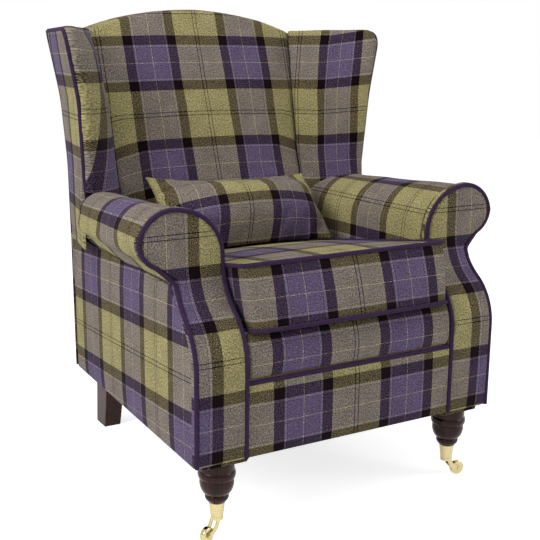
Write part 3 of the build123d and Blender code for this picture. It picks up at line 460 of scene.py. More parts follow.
def woven_strap(name, dark, light, thread):
    """Coarse plain weave: over and under threads show as a fine chequer."""
    material, tree, output = new_material(name)
    place = object_place(tree)
    squares = add_node(tree, "ShaderNodeTexChecker", {"Vector": place, "Scale": 1 / thread})
    share = squares.outputs["Fac"]
    colour = mixed(tree, share, linear(dark), linear(light))
    inputs = {"Base Color": colour, "Roughness": 0.95}
    finish_surface(tree, output, inputs, share, 0.3 * MM, 0.5)
    return material


MATERIALS = {}


def material(kind):
    """A material of this chair, made once.

    The turned legs are polished dark and mirror-like, the rear legs stained and satin. The cups
    and castors are bright pale yellow. What is inside is left plain: pale sawn beech, grey drawn
    wire, brown jute, and near-black cloth under the seat.
    """
    makers = {
        "plaid": plaid_wool,
        "piping": lambda: plain_wool("plain_wool_twill_bias_cut", cloth().piping),
        "platform": lambda: plain_wool("cotton_platform_cloth_plain_woven", "3B3840", 0.3),
        "dust": lambda: plain_wool("polypropylene_dust_cloth_felted", "161616", 0.3),
        "legs": lambda: grained_wood(
            "mahogany_turned_french_polished", "120704", "3A150C", 7 * MM, 0.18, 0.08
        ),
        "rear_legs": lambda: grained_wood(
            "mahogany_sawn_stained", "1E0F09", "402219", 8 * MM, 0.42, 0.05
        ),
        "frame": lambda: grained_wood("beech_sawn", "A98459", "C9A676", 6 * MM, 0.7, 0.0),
        "brass": lambda: worked_metal("brass_cast_polished", "A89868", "D2C79C", 0.17, 3 * MM),
        "steel": lambda: worked_metal("spring_steel_drawn", "5C5E62", "8A8D92", 0.4, 2 * MM),
        "webbing": lambda: woven_strap("jute_webbing_plain_woven", "5E4A2E", "9A7D50", 2.5 * MM),
    }
    if kind not in MATERIALS:
        MATERIALS[kind] = makers[kind]()
    return MATERIALS[kind]


def paint(piece, kind):
    """Give a piece its one material."""
    piece.data.materials.clear()
    piece.data.materials.append(material(kind))


# ---------------------------------------------------------------- shapes


def arc_through(start, through, end, count=12):
    """Points on the arc through three points of a plane, both ends included."""
    ax, ay = start
    bx, by = through
    cx, cy = end
    d = 2 * (ax * (by - cy) + bx * (cy - ay) + cx * (ay - by))
    a2, b2, c2 = ax * ax + ay * ay, bx * bx + by * by, cx * cx + cy * cy
    ox = (a2 * (by - cy) + b2 * (cy - ay) + c2 * (ay - by)) / d
    oy = (a2 * (cx - bx) + b2 * (ax - cx) + c2 * (bx - ax)) / d
    radius = math.hypot(ax - ox, ay - oy)
    angles = [math.atan2(y - oy, x - ox) for x, y in (start, through, end)]
    turn = (angles[2] - angles[0]) % (2 * math.pi)
    if (angles[1] - angles[0]) % (2 * math.pi) > turn:
        turn -= 2 * math.pi
    steps = np.linspace(angles[0], angles[0] + turn, count)
    return [(ox + radius * math.cos(a), oy + radius * math.sin(a)) for a in steps]


def even_points(points, spacing, closed=False):
    """Points at an even spacing along a polyline."""
    points = np.array(points, float)
    if closed:
        points = np.vstack([points, points[:1]])
    lengths = np.r_[0, np.cumsum(np.linalg.norm(np.diff(points, axis=0), axis=1))]
    count = max(int(round(lengths[-1] / spacing)), 2)
    at = np.linspace(0, lengths[-1], count + 1)
    if closed:
        at = at[:-1]
    return np.column_stack([np.interp(at, lengths, points[:, i]) for i in range(points.shape[1])])


def rounded(points, radii, count=8):
    """A polyline with its inner corners rounded to the given radii."""
    points = [Vector(p) for p in points]
    path = [points[0]]
    for before, corner, after, radius in zip(points, points[1:], points[2:], radii):
        back, on = (before - corner).normalized(), (after - corner).normalized()
        half = back.angle(on) / 2
        reach = min(radius / math.tan(half), 0.45 * (before - corner).length)
        reach = min(reach, 0.45 * (after - corner).length)
        start, end = corner + back * reach, corner + on * reach
        for step in np.linspace(0, 1, count):
            path.append(start.lerp(corner, step).lerp(corner.lerp(end, step), step))
    return path + [points[-1]]


def link_object(name, data):
    """A new object in the scene."""
    item = bpy.data.objects.new(name, data)
    bpy.context.scene.collection.objects.link(item)
    return item


def apply_modifiers(piece):
    """Turn what the modifiers give into the piece's own mesh."""
    graph = bpy.context.evaluated_depsgraph_get()
    mesh = bpy.data.meshes.new_from_object(piece.evaluated_get(graph))
    piece.modifiers.clear()
    old = piece.data
    piece.data = mesh
    bpy.data.meshes.remove(old)
    mesh.shade_smooth()


def positions(piece):
    """The mesh's points as an array."""
    flat = np.empty(len(piece.data.vertices) * 3)
    piece.data.vertices.foreach_get("co", flat)
    return flat.reshape(-1, 3)


def place_points(piece, points):
    """Move the mesh's points."""
    piece.data.vertices.foreach_set("co", np.ascontiguousarray(points, float).ravel())
    piece.data.update()


def normals(piece):
    """The mesh's point normals as an array."""
    flat = np.empty(len(piece.data.vertices) * 3)
    piece.data.vertex_normals.foreach_get("vector", flat)
    return flat.reshape(-1, 3)


def padded_copy(name, nodes, voxel, rounds):
    """One padded piece from the frame's solids: joined, remeshed and rounded off."""
    work = bmesh.new()
    for node in nodes:
        work.from_mesh(frame["nodes"][node].data)
    mesh = bpy.data.meshes.new(name)
    work.to_mesh(mesh)
    work.free()
    piece = link_object(name, mesh)
    remesh = piece.modifiers.new("Remesh", "REMESH")
    remesh.mode = "VOXEL"
    remesh.voxel_size = voxel
    smooth = piece.modifiers.new("Smooth", "SMOOTH")
    smooth.factor = 0.5
    smooth.iterations = rounds
    apply_modifiers(piece)
    return piece


def panel_copy(name, node, step, axes):
    """A thin panel from one of the frame's solids, cut into a grid so that it can swell."""
    work = bmesh.new()
    work.from_mesh(frame["nodes"][node].data)
    bmesh.ops.remove_doubles(work, verts=work.verts, dist=0.05 * MM)
    low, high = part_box(node)
    for axis in axes:
        normal = [0, 0, 0]
        normal[axis] = 1
        for at in np.arange(low[axis] + step / 2, high[axis], step):
            centre = [0, 0, 0]
            centre[axis] = at
            geometry = work.verts[:] + work.edges[:] + work.faces[:]
            bmesh.ops.bisect_plane(work, geom=geometry, plane_co=centre, plane_no=normal)
    mesh = bpy.data.meshes.new(name)
    work.to_mesh(mesh)
    work.free()
    mesh.shade_smooth()
    mesh.set_sharp_from_angle(angle=math.radians(38))
    return link_object(name, mesh)


def swell(piece, direction, amount, axes):
    """Push a panel outwards in its middle, and not at its edges."""
    steepness = 6
    points = positions(piece)
    outwards = np.array(direction, float)
    facing = normals(piece) @ outwards
    share = np.ones(len(points))
    for axis in axes:
        low, high = points[:, axis].min(), points[:, axis].max()
        share *= 1 - np.abs(2 * (points[:, axis] - low) / (high - low) - 1) ** steepness
    push = amount * share * np.clip(facing, 0, 1)
    place_points(piece, points + push[:, None] * outwards)


def crease(piece, amount, spacing, seed):
    """Shallow uneven folds, as cloth has where it is stretched over padding."""
    points = positions(piece)
    away = normals(piece)
    shift = Vector((seed * 3.7, seed * 1.9, seed * 5.3))
    depth = [noise.noise(Vector(p) / spacing + shift) for p in points]
    place_points(piece, points + away * (amount * np.array(depth))[:, None])


def lay_cloth(piece, place):
    """Write the cloth's own coordinates, in metres, from the function place(points, normals)."""
    mesh = piece.data
    corners = np.empty(len(mesh.loops), int)
    mesh.loops.foreach_get("vertex_index", corners)
    points = positions(piece)[corners]
    facing = np.empty(len(mesh.polygons) * 3)
    mesh.polygons.foreach_get("normal", facing)
    sizes = np.empty(len(mesh.polygons), int)
    mesh.polygons.foreach_get("loop_total", sizes)
    layer = mesh.uv_layers.new(name="cloth")
    uv = place(points, np.repeat(facing.reshape(-1, 3), sizes, axis=0))
    layer.data.foreach_set("uv", np.ascontiguousarray(uv, float).ravel())


def piping(name, points, closed=False):
    """A round cord covered in cloth along a path."""
    curve = bpy.data.curves.new(name, "CURVE")
    curve.dimensions = "3D"
    curve.bevel_depth = cloth().piping_radius
    curve.bevel_resolution = 4
    curve.use_fill_caps = not closed
    spline = curve.splines.new("POLY")
    path = even_points([tuple(p) for p in points], 5 * MM, closed)
    spline.points.add(len(path) - 1)
    for point, at in zip(spline.points, path):
        point.co = (*at, 1)
    spline.use_cyclic_u = closed
    spline.use_smooth = True
    piece = link_object(name, curve)
    curve.materials.append(material("piping"))
    return piece


def dress(piece, body, slot, *nodes):
    """Fix a piece to its body, in the place of the frame's own solids."""
    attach(piece, body)
    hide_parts(*nodes)


# ---------------------------------------------------------------- the chair's outline


def side_of(side):
    """-1 on the left and 1 on the right."""
    return -1 if side == "left" else 1


def scroll_table():
    """Heights on the arm front, its depth there and the length of cloth up to there."""
    turn = 2 * math.atan2(SCROLL_SETBACK, SCROLL_TOP - SCROLL_FOOT)
    radius = (SCROLL_TOP - SCROLL_FOOT) / 2 / math.sin(turn)
    heights = np.linspace(BASE, ARM_TOP[1] + SCROLL_SPARE, 200)
    low = np.clip(heights - SCROLL_FOOT, 0, radius * math.sin(turn))
    high = np.clip(SCROLL_TOP - heights, 0, radius * math.sin(turn))
    lower = radius - np.sqrt(radius**2 - low**2)
    upper = SCROLL_SETBACK - (radius - np.sqrt(radius**2 - high**2))
    middle = (SCROLL_FOOT + SCROLL_TOP) / 2
    depths = FRONT + np.where(heights < middle, lower, upper)
    steps = np.hypot(np.diff(heights), np.diff(depths))
    return heights, depths, np.r_[0, np.cumsum(steps)]


def arm_outline():
    """Outline of the arm front as X from the middle of the chair and Z, foot to foot."""
    inner_x, inner_z = ARM_SHOULDER
    top_x, top_z = ARM_TOP
    outer_x, outer_z = ARM_OUTER
    out, up = ARM_INNER_SHARES
    inner = (inner_x + out * (top_x - inner_x), inner_z + up * (top_z - inner_z))
    out, up = ARM_OUTER_SHARES
    outer = (top_x + out * (outer_x - top_x), outer_z + up * (top_z - outer_z))
    under = [(outer_x - x, outer_z - z) for x, z in ARM_UNDERSIDE]
    rise = arc_through(ARM_SHOULDER, inner, ARM_TOP)
    over = arc_through(ARM_TOP, outer, ARM_OUTER)
    tuck = arc_through(ARM_OUTER, under[0], under[1])
    down = [(BASE_HALF_WIDTH - x, z) for x, z in ARM_NECK]
    return [(inner_x, BASE)] + rise[:-1] + over[:-1] + tuck + down + [(BASE_HALF_WIDTH, BASE)]


def inset(path, amount):
    """A plane path moved sideways, towards its right-hand side."""
    path = np.array(path, float)
    along = np.gradient(path, axis=0)
    along /= np.linalg.norm(along, axis=1)[:, None]
    return path + amount * np.column_stack([along[:, 1], -along[:, 0]])


def smooth_step(share):
    """0 to 1 without a kink at either end."""
    share = np.clip(share, 0, 1)
    return share * share * (3 - 2 * share)


def wing_place(points):
    """Distance behind the wing's front edge, and the share of the way to the seam."""
    heights = points[:, 2]
    front_x, front_y, seam_x = (
        np.interp(heights, BACK_LEVELS, row) for row in (WING_FRONT_X, WING_FRONT_Y, WING_SEAM_X)
    )
    behind = np.hypot(np.abs(points[:, 0]) - front_x, points[:, 1] - front_y)
    return behind, (front_x - np.abs(points[:, 0])) / (front_x - seam_x)


def shape_wing(piece, side):
    """Fill a wing out: its face full, its front edge rolled outwards, its foot in the arm."""
    sign = side_of(side)
    points = positions(piece)
    heights = points[:, 2]
    _, share = wing_place(points)
    inwards = np.array((-WING_FACES[0] * sign, -WING_FACES[1], 0))
    faces_in = np.clip(normals(piece) @ inwards, 0, 1)
    level = smooth_step((WING_TOP - heights) / WING_FADE)
    full = WING_FULLNESS * faces_in * level * np.clip(1 - (2 * share - 1) ** 2, 0, 1)
    front_y = np.interp(heights, BACK_LEVELS, WING_FRONT_Y)
    rolled = WING_ROLL[side] * smooth_step((front_y + WING_EDGE - points[:, 1]) / WING_EDGE)
    tucked = WING_TUCK * smooth_step((WING_TUCK_LEVEL - heights) / WING_TUCK_FADE)
    points += full[:, None] * inwards
    points[:, 0] += (rolled - tucked) * sign
    points[:, 2] += WING_RISE * smooth_step((heights - WING_TOP + WING_RISE_FADE) / WING_RISE_FADE)
    place_points(piece, points)


def shape_arm(piece, side):
    """Fill the roll out below towards the rear, and tuck its end in behind the wing's panel."""
    points = positions(piece)
    across = np.abs(points[:, 0])
    towards_rear = smooth_step((points[:, 1] - ARM_FULL_FROM[1]) / ARM_FULL_OVER[1])
    below = smooth_step((ARM_OUTER[1] - points[:, 2]) / ARM_FULL_OVER[2])
    outwards = smooth_step((across - ARM_FULL_FROM[0]) / ARM_FULL_OVER[0])
    across += ARM_FULLNESS * towards_rear * below * outwards
    behind = points[:, 1] - WING_FRONT_Y[0]
    depth = BACK_CORNER_Y[0] - WING_FRONT_Y[0]
    panel_x = WING_FRONT_X[0] + (BACK_CORNER_X[0] - WING_FRONT_X[0]) * behind / depth
    panel_x -= ARM_TUCK
    inside = np.where(behind > 0, np.minimum(across, panel_x), across)
    points[:, 0] = side_of(side) * inside
    place_points(piece, points)


def rake_place(points):
    """Distance up the raked back from its foot, and behind its face, for each point."""
    y, z = BACK_FACE
    back = points[:, 1] - y
    up = points[:, 2] - z
    along = up * math.cos(BACK_RAKE) + back * math.sin(BACK_RAKE)
    behind = back * math.cos(BACK_RAKE) - up * math.sin(BACK_RAKE)
    return along, behind


# ---------------------------------------------------------------- how the cloth lies


def back_cloth(points, facing):
    """Inside back: stripes up its middle, carried over the crest."""
    along, behind = rake_place(points)
    over = np.maximum(behind - CREST_BEND, 0)
    return np.column_stack([points[:, 0], along - BACK_CLOTH + over])


def outside_back_cloth(points, facing):
    """Outside back: stripes up its middle."""
    return points[:, [0, 2]] - (0, OUTSIDE_BACK_CLOTH)


def wing_cloth(side):
    """Inside of a wing: measured back from its front edge, and unstretched near the seam."""

    def place(points, facing):
        behind, _ = wing_place(points)
        pulled = np.minimum(behind, WING_EASED)
        up = points[:, 2] - WING_LEVEL
        terms = np.column_stack([np.ones(len(points)), pulled, up, pulled * up])
        across, along = terms @ WING_WARP[side], terms @ WING_WEFT[side]
        eased = np.sign(WING_WARP[side][1]) * (behind - pulled)
        return np.column_stack([across + eased, along])

    return place


def outside_wing_cloth(points, facing):
    """Outside of a wing: stripes that run on from the front edge."""
    return (points[:, 1:] - OUTSIDE_WING_CLOTH) * (1, OUTSIDE_WING_EASE)


def arm_cloth(points, facing):
    """Arm: stripes across it, and rows that run from front to back and over the roll."""
    height = points[:, 2]
    out = np.abs(points[:, 0]) - ARM_TOP[0]
    shoulder = math.atan2(ARM_SHOULDER[1] - ROLL_MIDDLE, ARM_TOP[0] - ARM_SHOULDER[0])
    angle = np.arctan2(height - ROLL_MIDDLE, -out)
    angle = np.where(angle < -math.pi / 2, angle + 2 * math.pi, angle)
    around = ARM_SHOULDER[1] + ROLL_RADIUS * (angle - shoulder)
    inside = (height < ARM_SHOULDER[1]) & (out < -ARM_INSIDE)
    girth = np.where(inside, height, around)
    return np.column_stack([points[:, 1] - ARM_WARP, ARM_EASE * (girth - ARM_WEFT)])


def facing_cloth(points, facing):
    """Arm front: green at its inner edge, rows matched down the scroll."""
    heights, _, lengths = scroll_table()
    level = np.interp(FACING_WEFT, heights, lengths)
    up = np.interp(points[:, 2], heights, lengths) - level
    return np.column_stack([np.abs(points[:, 0]) - FACING_WARP, up])


def outside_arm_cloth(points, facing):
    """Outside arm: stripes upright, in line with those over the roll, rows falling forward."""
    up = points[:, 2] + OUTSIDE_ARM_FALL * points[:, 1] - OUTSIDE_ARM_WEFT
    return np.column_stack([points[:, 1] - ARM_WARP, OUTSIDE_ARM_EASE * up])


def lip_cloth(points, facing):
    """Seat lip: stripes in line with the cushion's, carried over the top."""
    over = np.maximum(points[:, 1] - (FRONT + LIP_BEND), 0)
    up = points[:, 2] - LIP_FOOT + np.where(facing[:, 2] > HALF_TURNED, over, 0)
    return np.column_stack([points[:, 0], up + LIP_CLOTH])


def border_cloth(points, facing):
    """Front border: stripes in line with the lip's."""
    return np.column_stack([points[:, 0] - BORDER_CLOTH[0], BORDER_CLOTH[1] - points[:, 2]])


def block_cloth(points, facing):
    """Wrap over a leg block: runs on from the facing above it."""
    on_side = np.abs(facing[:, 0]) > SIDEWAYS
    across = np.where(on_side, points[:, 1] - FRONT, np.abs(points[:, 0]))
    return np.column_stack([across - FACING_WARP, points[:, 2] - FACING_WEFT])


# ---------------------------------------------------------------- cushions


def box_grid(name, counts, shape):
    """A closed box of quads, shaped by shape(a, b, c) with a, b and c from -1 to 1.

    The group "seam" holds the edges round its top and its bottom.
    """
    work = bmesh.new()
    for axis in range(3):
        first, second = (i for i in range(3) if i != axis)
        for end in (-1.0, 1.0):
            rows = []
            for s in np.linspace(-1, 1, counts[first] + 1):
                row = []
                for t in np.linspace(-1, 1, counts[second] + 1):
                    place = [0.0, 0.0, 0.0]
                    place[axis], place[first], place[second] = end, s, t
                    row.append(work.verts.new(place))
                rows.append(row)
            for low, high in zip(rows, rows[1:]):
                for a, b, c, d in zip(low, low[1:], high[1:], high):
                    work.faces.new((a, b, c, d))
    bmesh.ops.remove_doubles(work, verts=work.verts, dist=1e-5)
    bmesh.ops.recalc_face_normals(work, faces=work.faces)
    mesh = bpy.data.meshes.new(name)
    work.to_mesh(mesh)
    work.free()
    piece = link_object(name, mesh)
    grid = positions(piece)
    edge = 1 - 1e-4
    rim = np.maximum(np.abs(grid[:, 0]), np.abs(grid[:, 1])) > edge
    group = piece.vertex_groups.new(name="seam")
    seam = np.flatnonzero(rim & (np.abs(grid[:, 2]) > edge))
    group.add([int(i) for i in seam], 1.0, "REPLACE")
    place_points(piece, shape(grid))
    mesh.shade_smooth()
    return piece


def inflate(piece, limit, stretch=0.0):
    """Fill a cushion with pressure as cloth, with its seams held where they are sewn.

    The cloth moves by no more than limit from where it starts.
    """
    start = positions(piece)
    cushion = piece.modifiers.new("Cloth", "CLOTH")
    settings = cushion.settings
    settings.quality = 6
    settings.mass = 0.3
    settings.tension_stiffness = 30
    settings.compression_stiffness = 30
    settings.shear_stiffness = 10
    settings.bending_stiffness = 1.0
    settings.air_damping = 4.0
    settings.use_pressure = True
    settings.uniform_pressure_force = padding().pressure
    settings.shrink_min = -stretch
    settings.vertex_group_mass = "seam"
    settings.effector_weights.gravity = 0
    cushion.collision_settings.use_collision = False
    cushion.point_cache.frame_end = padding().steps
    scene = bpy.context.scene
    for step in range(1, padding().steps + 1):
        scene.frame_set(step)
    apply_modifiers(piece)
    scene.frame_set(1)
    moved = positions(piece) - start
    far = np.linalg.norm(moved, axis=1)
    moved *= (limit * np.tanh(far / limit) / np.maximum(far, 1e-9))[:, None]
    place_points(piece, start + moved)
    refine = piece.modifiers.new("Subdivision", "SUBSURF")
    refine.levels = 1
    refine.render_levels = 1
    apply_modifiers(piece)


def seat_point(x, along, up):
    """A point of the sloping seat, from the foot of the cushion's front."""
    y, z = CUSHION_FRONT
    turn_y = y + along * math.cos(SEAT_PITCH) + up * math.sin(SEAT_PITCH)
    turn_z = z - along * math.sin(SEAT_PITCH) + up * math.cos(SEAT_PITCH)
    return np.column_stack([x + 0 * along, turn_y, turn_z])


def seat_cushion_shape(grid):
    """Box cushion: crowned over its middle, its front leaning back, its upper corners full."""
    a, b, c = grid.T
    height = (c + 1) / 2
    middle = (1 - a**2) * (1 - b**2)
    waist = 1 - c**2
    flare, draw, at_edge, at_corner = 5 * MM, 4 * MM, 8, 12
    corner = draw * np.abs(a) ** at_corner * np.abs(b) ** at_corner
    half_width = CUSHION_HALF_WIDTH + flare * c - draw * (1 - b**2) * np.abs(a) - corner
    ends = (CUSHION_LEAN * height, CUSHION_LENGTH + CUSHION_LEAN * height)
    along = ends[0] + (ends[1] - ends[0]) * (b + 1) / 2
    drawn_in = (1 * MM - flare * c) * a**2 + corner - draw * waist
    along += drawn_in * -np.sign(b) * np.abs(b) ** at_edge
    up = CUSHION_HEIGHT * height + CUSHION_CROWN * middle * np.clip(c, 0, 1)
    return seat_point(a * half_width, along, up)


def seat_cushion_cloth(points, facing):
    """Seat cushion: stripes from front to back, carried up its front and over the top."""
    y, z = CUSHION_FRONT
    back, rise = points[:, 1] - y, points[:, 2] - z
    along = back * math.cos(SEAT_PITCH) - rise * math.sin(SEAT_PITCH)
    up = back * math.sin(SEAT_PITCH) + rise * math.cos(SEAT_PITCH)
    square = facing @ np.array([0, math.sin(SEAT_PITCH), math.cos(SEAT_PITCH)])
    from_front = CUSHION_CLOTH[1] + CUSHION_EASE * up
    v = from_front + np.where(square > LEVEL, along - CUSHION_LEAN, 0)
    v = np.where(square < -LEVEL, CUSHION_CLOTH[1] - along, v)
    sides = (np.abs(facing[:, 0]) > LEVEL) & (np.abs(square) < LEVEL)
    u = np.where(sides, along + CUSHION_LEAN, points[:, 0] - CUSHION_CLOTH[0])
    return np.column_stack([u, v])


def lumbar_shape(grid):
    """Knife-edge cushion: full in its middle, its edges drawn in, resting on the seat."""
    a, b, c = grid.T
    drawn_a = LUMBAR_DRAWN[0] * (1 - b**2)
    drawn_b = LUMBAR_DRAWN[1] * (1 - a**2)
    across = a * (LUMBAR_SIZE[0] / 2 - drawn_a)
    along = LUMBAR_SIZE[1] / 2 + b * (LUMBAR_SIZE[1] / 2 - drawn_b)
    full = (1 - np.abs(a) ** 2.6) ** 0.75 * (1 - np.abs(b) ** 2.4) ** 0.75
    out = c * (np.where(c > 0, *LUMBAR_SWELL) * full + LUMBAR_EDGE)
    y, z = LUMBAR_FOOT
    turn_y = y + along * math.cos(LUMBAR_TILT) - out * math.sin(LUMBAR_TILT)
    turn_z = z + along * math.sin(LUMBAR_TILT) + out * math.cos(LUMBAR_TILT)
    bend = 0.2
    turn_z -= LUMBAR_DROOP * np.clip((bend - b) / (1 + bend), 0, 1) ** 2
    turn_z -= LUMBAR_SAG * smooth_step((b - bend) / (1 - bend)) * (1 - ((1 - a) / 2) ** 3)
    return np.column_stack([across, turn_y, turn_z])


def lumbar_cloth(points, facing):
    """Lumbar cushion: stripes up its middle, rows measured over its swell from its foot."""
    y, z = LUMBAR_FOOT
    rows = np.linspace(-1, 1, 60)
    middle = lumbar_shape(np.column_stack([0 * rows, rows, 0 * rows + 1]))
    lengths = np.r_[0, np.cumsum(np.linalg.norm(np.diff(middle, axis=0), axis=1))]

    def along(places):
        back, up = places[:, 1] - y, places[:, 2] - z
        return back * math.cos(LUMBAR_TILT) + up * math.sin(LUMBAR_TILT)

    over = np.interp(along(points), along(middle), lengths)
    leaning = LUMBAR_LEAN * (LUMBAR_LEVEL - points[:, 2])
    across = points[:, 0] + LUMBAR_CLOTH[0] + leaning
    return np.column_stack([LUMBAR_EASE * across, LUMBAR_CLOTH[1] - over])


# ---------------------------------------------------------------- operators


def dressed_pad(name, nodes, place, rounds=6, folds=0.0, inner=(), shape=None):
    """A padded piece over the frame's solids: rounded, faintly creased and clad in plaid.

    The inner nodes are wood that the padding covers.
    """
    piece = padded_copy(name, [*nodes, *inner], padding().voxel, rounds)
    if shape:
        shape(piece)
    if folds:
        crease(piece, folds, FOLD_SPACING, len(name))
    lay_cloth(piece, place)
    paint(piece, "plaid")
    dress(piece, "chair", "plaid_cloth", *nodes)


def dressed_panel(name, node, place, axes, direction, amount):
    """A lightly padded flat panel over one of the frame's solids, clad in plaid."""
    piece = panel_copy(name, node, PANEL_STEP, axes)
    swell(piece, direction, amount, axes)
    lay_cloth(piece, place)
    paint(piece, "plaid")
    dress(piece, "chair", "plaid_cloth", node)


class ARMCHAIR_OT_back(bpy.types.Operator):
    """Padded inside back under its arched crest, and the panel behind it"""

    bl_idname = "armchair.back"
    bl_label = "Back"

    def execute(self, context):
        dressed_pad("back_padding", ["inside_back"], back_cloth, folds=3 * MM)
        axes = (0, 2)
        dressed_panel("back_panel", "outside_back", outside_back_cloth, axes, (0, 1, 0), 6 * MM)
        return {"FINISHED"}


class ARMCHAIR_OT_wings(bpy.types.Operator):
    """Padded wings, their outside panels and the piping round their edge"""

    bl_idname = "armchair.wings"
    bl_label = "Wings"

    def execute(self, context):
        for side in SIDES:
            sign = side_of(side)
            dressed_pad(
                f"wing_padding_{side}",
                [f"wing_pad_{side}"],
                wing_cloth(side),
                rounds=5,
                folds=2 * MM,
                inner=[f"wing_board_{side}"],
                shape=lambda piece: shape_wing(piece, side),
            )
            outside = f"outside_wing_{side}"
            axes = (1, 2)
            dressed_panel(
                f"wing_panel_{side}", outside, outside_wing_cloth, axes, (sign, 0, 0), 3 * MM
            )
            out, behind = WING_PIPING[side]
            front = zip(WING_FRONT_X, WING_FRONT_Y, BACK_LEVELS)
            rise = [(x + out, y + behind, z) for x, y, z in front]
            rear = zip(BACK_CORNER_X, BACK_CORNER_Y, BACK_LEVELS)
            fall = [(x, y - WING_PIPING_SETBACK, z) for x, y, z in rear]
            points = rise + fall[::-1]
            foot_x, foot_y, foot_z = WING_PIPING_FOOT
            points[0] = (points[0][0] + foot_x, points[0][1] + foot_y, foot_z)
            points[-1] = (*points[-1][:2], WING_FOOT)
            points = [(sign * x, y, z) for x, y, z in points]
            path = rounded(points, WING_PIPING_BENDS)
            welt = piping(f"wing_welt_{side}", path)
            dress(welt, "chair", "piping", f"wing_piping_{side}")
        return {"FINISHED"}


class ARMCHAIR_OT_arms(bpy.types.Operator):
    """Scroll arms: padding, outside panels, facings and the piping round each facing"""

    bl_idname = "armchair.arms"
    bl_label = "Arms"

    def execute(self, context):
        heights, depths, _ = scroll_table()
        outline = even_points(inset(arm_outline(), cloth().piping_radius), 6 * MM)
        for side in SIDES:
            sign = side_of(side)
            dressed_pad(
                f"arm_padding_{side}",
                [f"arm_pad_{side}"],
                arm_cloth,
                folds=2 * MM,
                inner=[f"arm_board_{side}", f"arm_stump_{side}"],
                shape=lambda piece: shape_arm(piece, side),
            )
            dressed_panel(
                f"arm_panel_{side}",
                f"outside_arm_{side}",
                outside_arm_cloth,
                (1, 2),
                (sign, 0, 0),
                4 * MM,
            )
            dressed_panel(
                f"arm_front_{side}",
                f"arm_facing_{side}",
                facing_cloth,
                (0, 2),
                (0, -1, 0),
                4 * MM,
            )
            path = [(sign * x, np.interp(z, heights, depths), z) for x, z in outline]
            welt = piping(f"arm_welt_{side}", path)
            dress(welt, "chair", "piping", f"arm_piping_{side}")
        return {"FINISHED"}


class ARMCHAIR_OT_seat(bpy.types.Operator):
    """Padded seat edge, front border with its piping, and the platform under the cushion"""

    bl_idname = "armchair.seat"
    bl_label = "Seat"

    def execute(self, context):
        dressed_pad("seat_edge", ["seat_lip"], lip_cloth, rounds=5, folds=1.5 * MM)
        axes = (0, 2)
        dressed_panel("border_panel", "front_border", border_cloth, axes, (0, -1, 0), 3 * MM)
        low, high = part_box("front_border_piping")
        middle = [(low[i] + high[i]) / 2 for i in (1, 2)]
        welt = piping("border_welt", [(low[0], *middle), (high[0], *middle)])
        dress(welt, "chair", "piping", "front_border_piping")
        blocks = ["front_leg_blocks"]
        dressed_pad("leg_block_wraps", blocks, block_cloth, rounds=2)
        deck = padded_copy("seat_deck", ["seat_platform"], padding().voxel, 4)
        paint(deck, "platform")
        dress(deck, "chair", "platform_cloth", "seat_platform")
        return {"FINISHED"}


class ARMCHAIR_OT_seat_cushion(bpy.types.Operator):
    """Loose box cushion, filled by simulation, with piping round its top and its foot"""

    bl_idname = "armchair.seat_cushion"
    bl_label = "Seat cushion"

    def execute(self, context):
        piece = box_grid("seat_cushion", SEAT_CUSHION_GRID, seat_cushion_shape)
        inflate(piece, padding().seat_swell)
        lay_cloth(piece, seat_cushion_cloth)
        paint(piece, "plaid")
        nodes = ("seat_cushion_cover", "seat_cushion_foam", "seat_cushion_piping")
        dress(piece, "seat_cushion", "plaid_cloth", *nodes)
        sides = np.linspace(-1, 1, WELT_POINTS)
        for name, level in (("foot", -1), ("top", 1)):
            ring = [(a, -1, level) for a in sides] + [(1, b, level) for b in sides[1:]]
            ring += [(a, 1, level) for a in sides[-2::-1]]
            ring += [(-1, b, level) for b in sides[-2:0:-1]]
            path = seat_cushion_shape(np.array(ring, float))
            welt = piping(f"seat_cushion_welt_{name}", path, closed=True)
            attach(welt, "seat_cushion")
        return {"FINISHED"}


class ARMCHAIR_OT_lumbar_cushion(bpy.types.Operator):
    """Loose knife-edge cushion against the back, filled by simulation"""

    bl_idname = "armchair.lumbar_cushion"
    bl_label = "Lumbar cushion"

    def execute(self, context):
        piece = box_grid("lumbar_cushion", LUMBAR_GRID, lumbar_shape)
        inflate(piece, padding().lumbar_swell, LUMBAR_STRETCH)
        lay_cloth(piece, lumbar_cloth)
        paint(piece, "plaid")
        nodes = ("lumbar_cushion_cover", "lumbar_cushion_filling")
        dress(piece, "lumbar_cushion", "plaid_cloth", *nodes)
        return {"FINISHED"}


class ARMCHAIR_OT_frame(bpy.types.Operator):
    """Finishes of the frame, the springs and what closes the chair from below"""

    bl_idname = "armchair.frame"
    bl_label = "Frame"

    def execute(self, context):
        finishes = {
            "frame_wood": "frame",
            "spring_steel": "steel",
            "webbing": "webbing",
            "brass": "brass",
            "dust_cloth": "dust",
        }
        for sub_part in frame["record"]["subparts"]:
            finish = finishes.get(sub_part["material_slot"])
            if finish:
                paint(frame["nodes"][sub_part["node"]], finish)
        for side in SIDES:
            paint(frame["nodes"][f"front_leg_{side}"], "legs")
            paint(frame["nodes"][f"rear_leg_{side}"], "rear_legs")
        return {"FINISHED"}


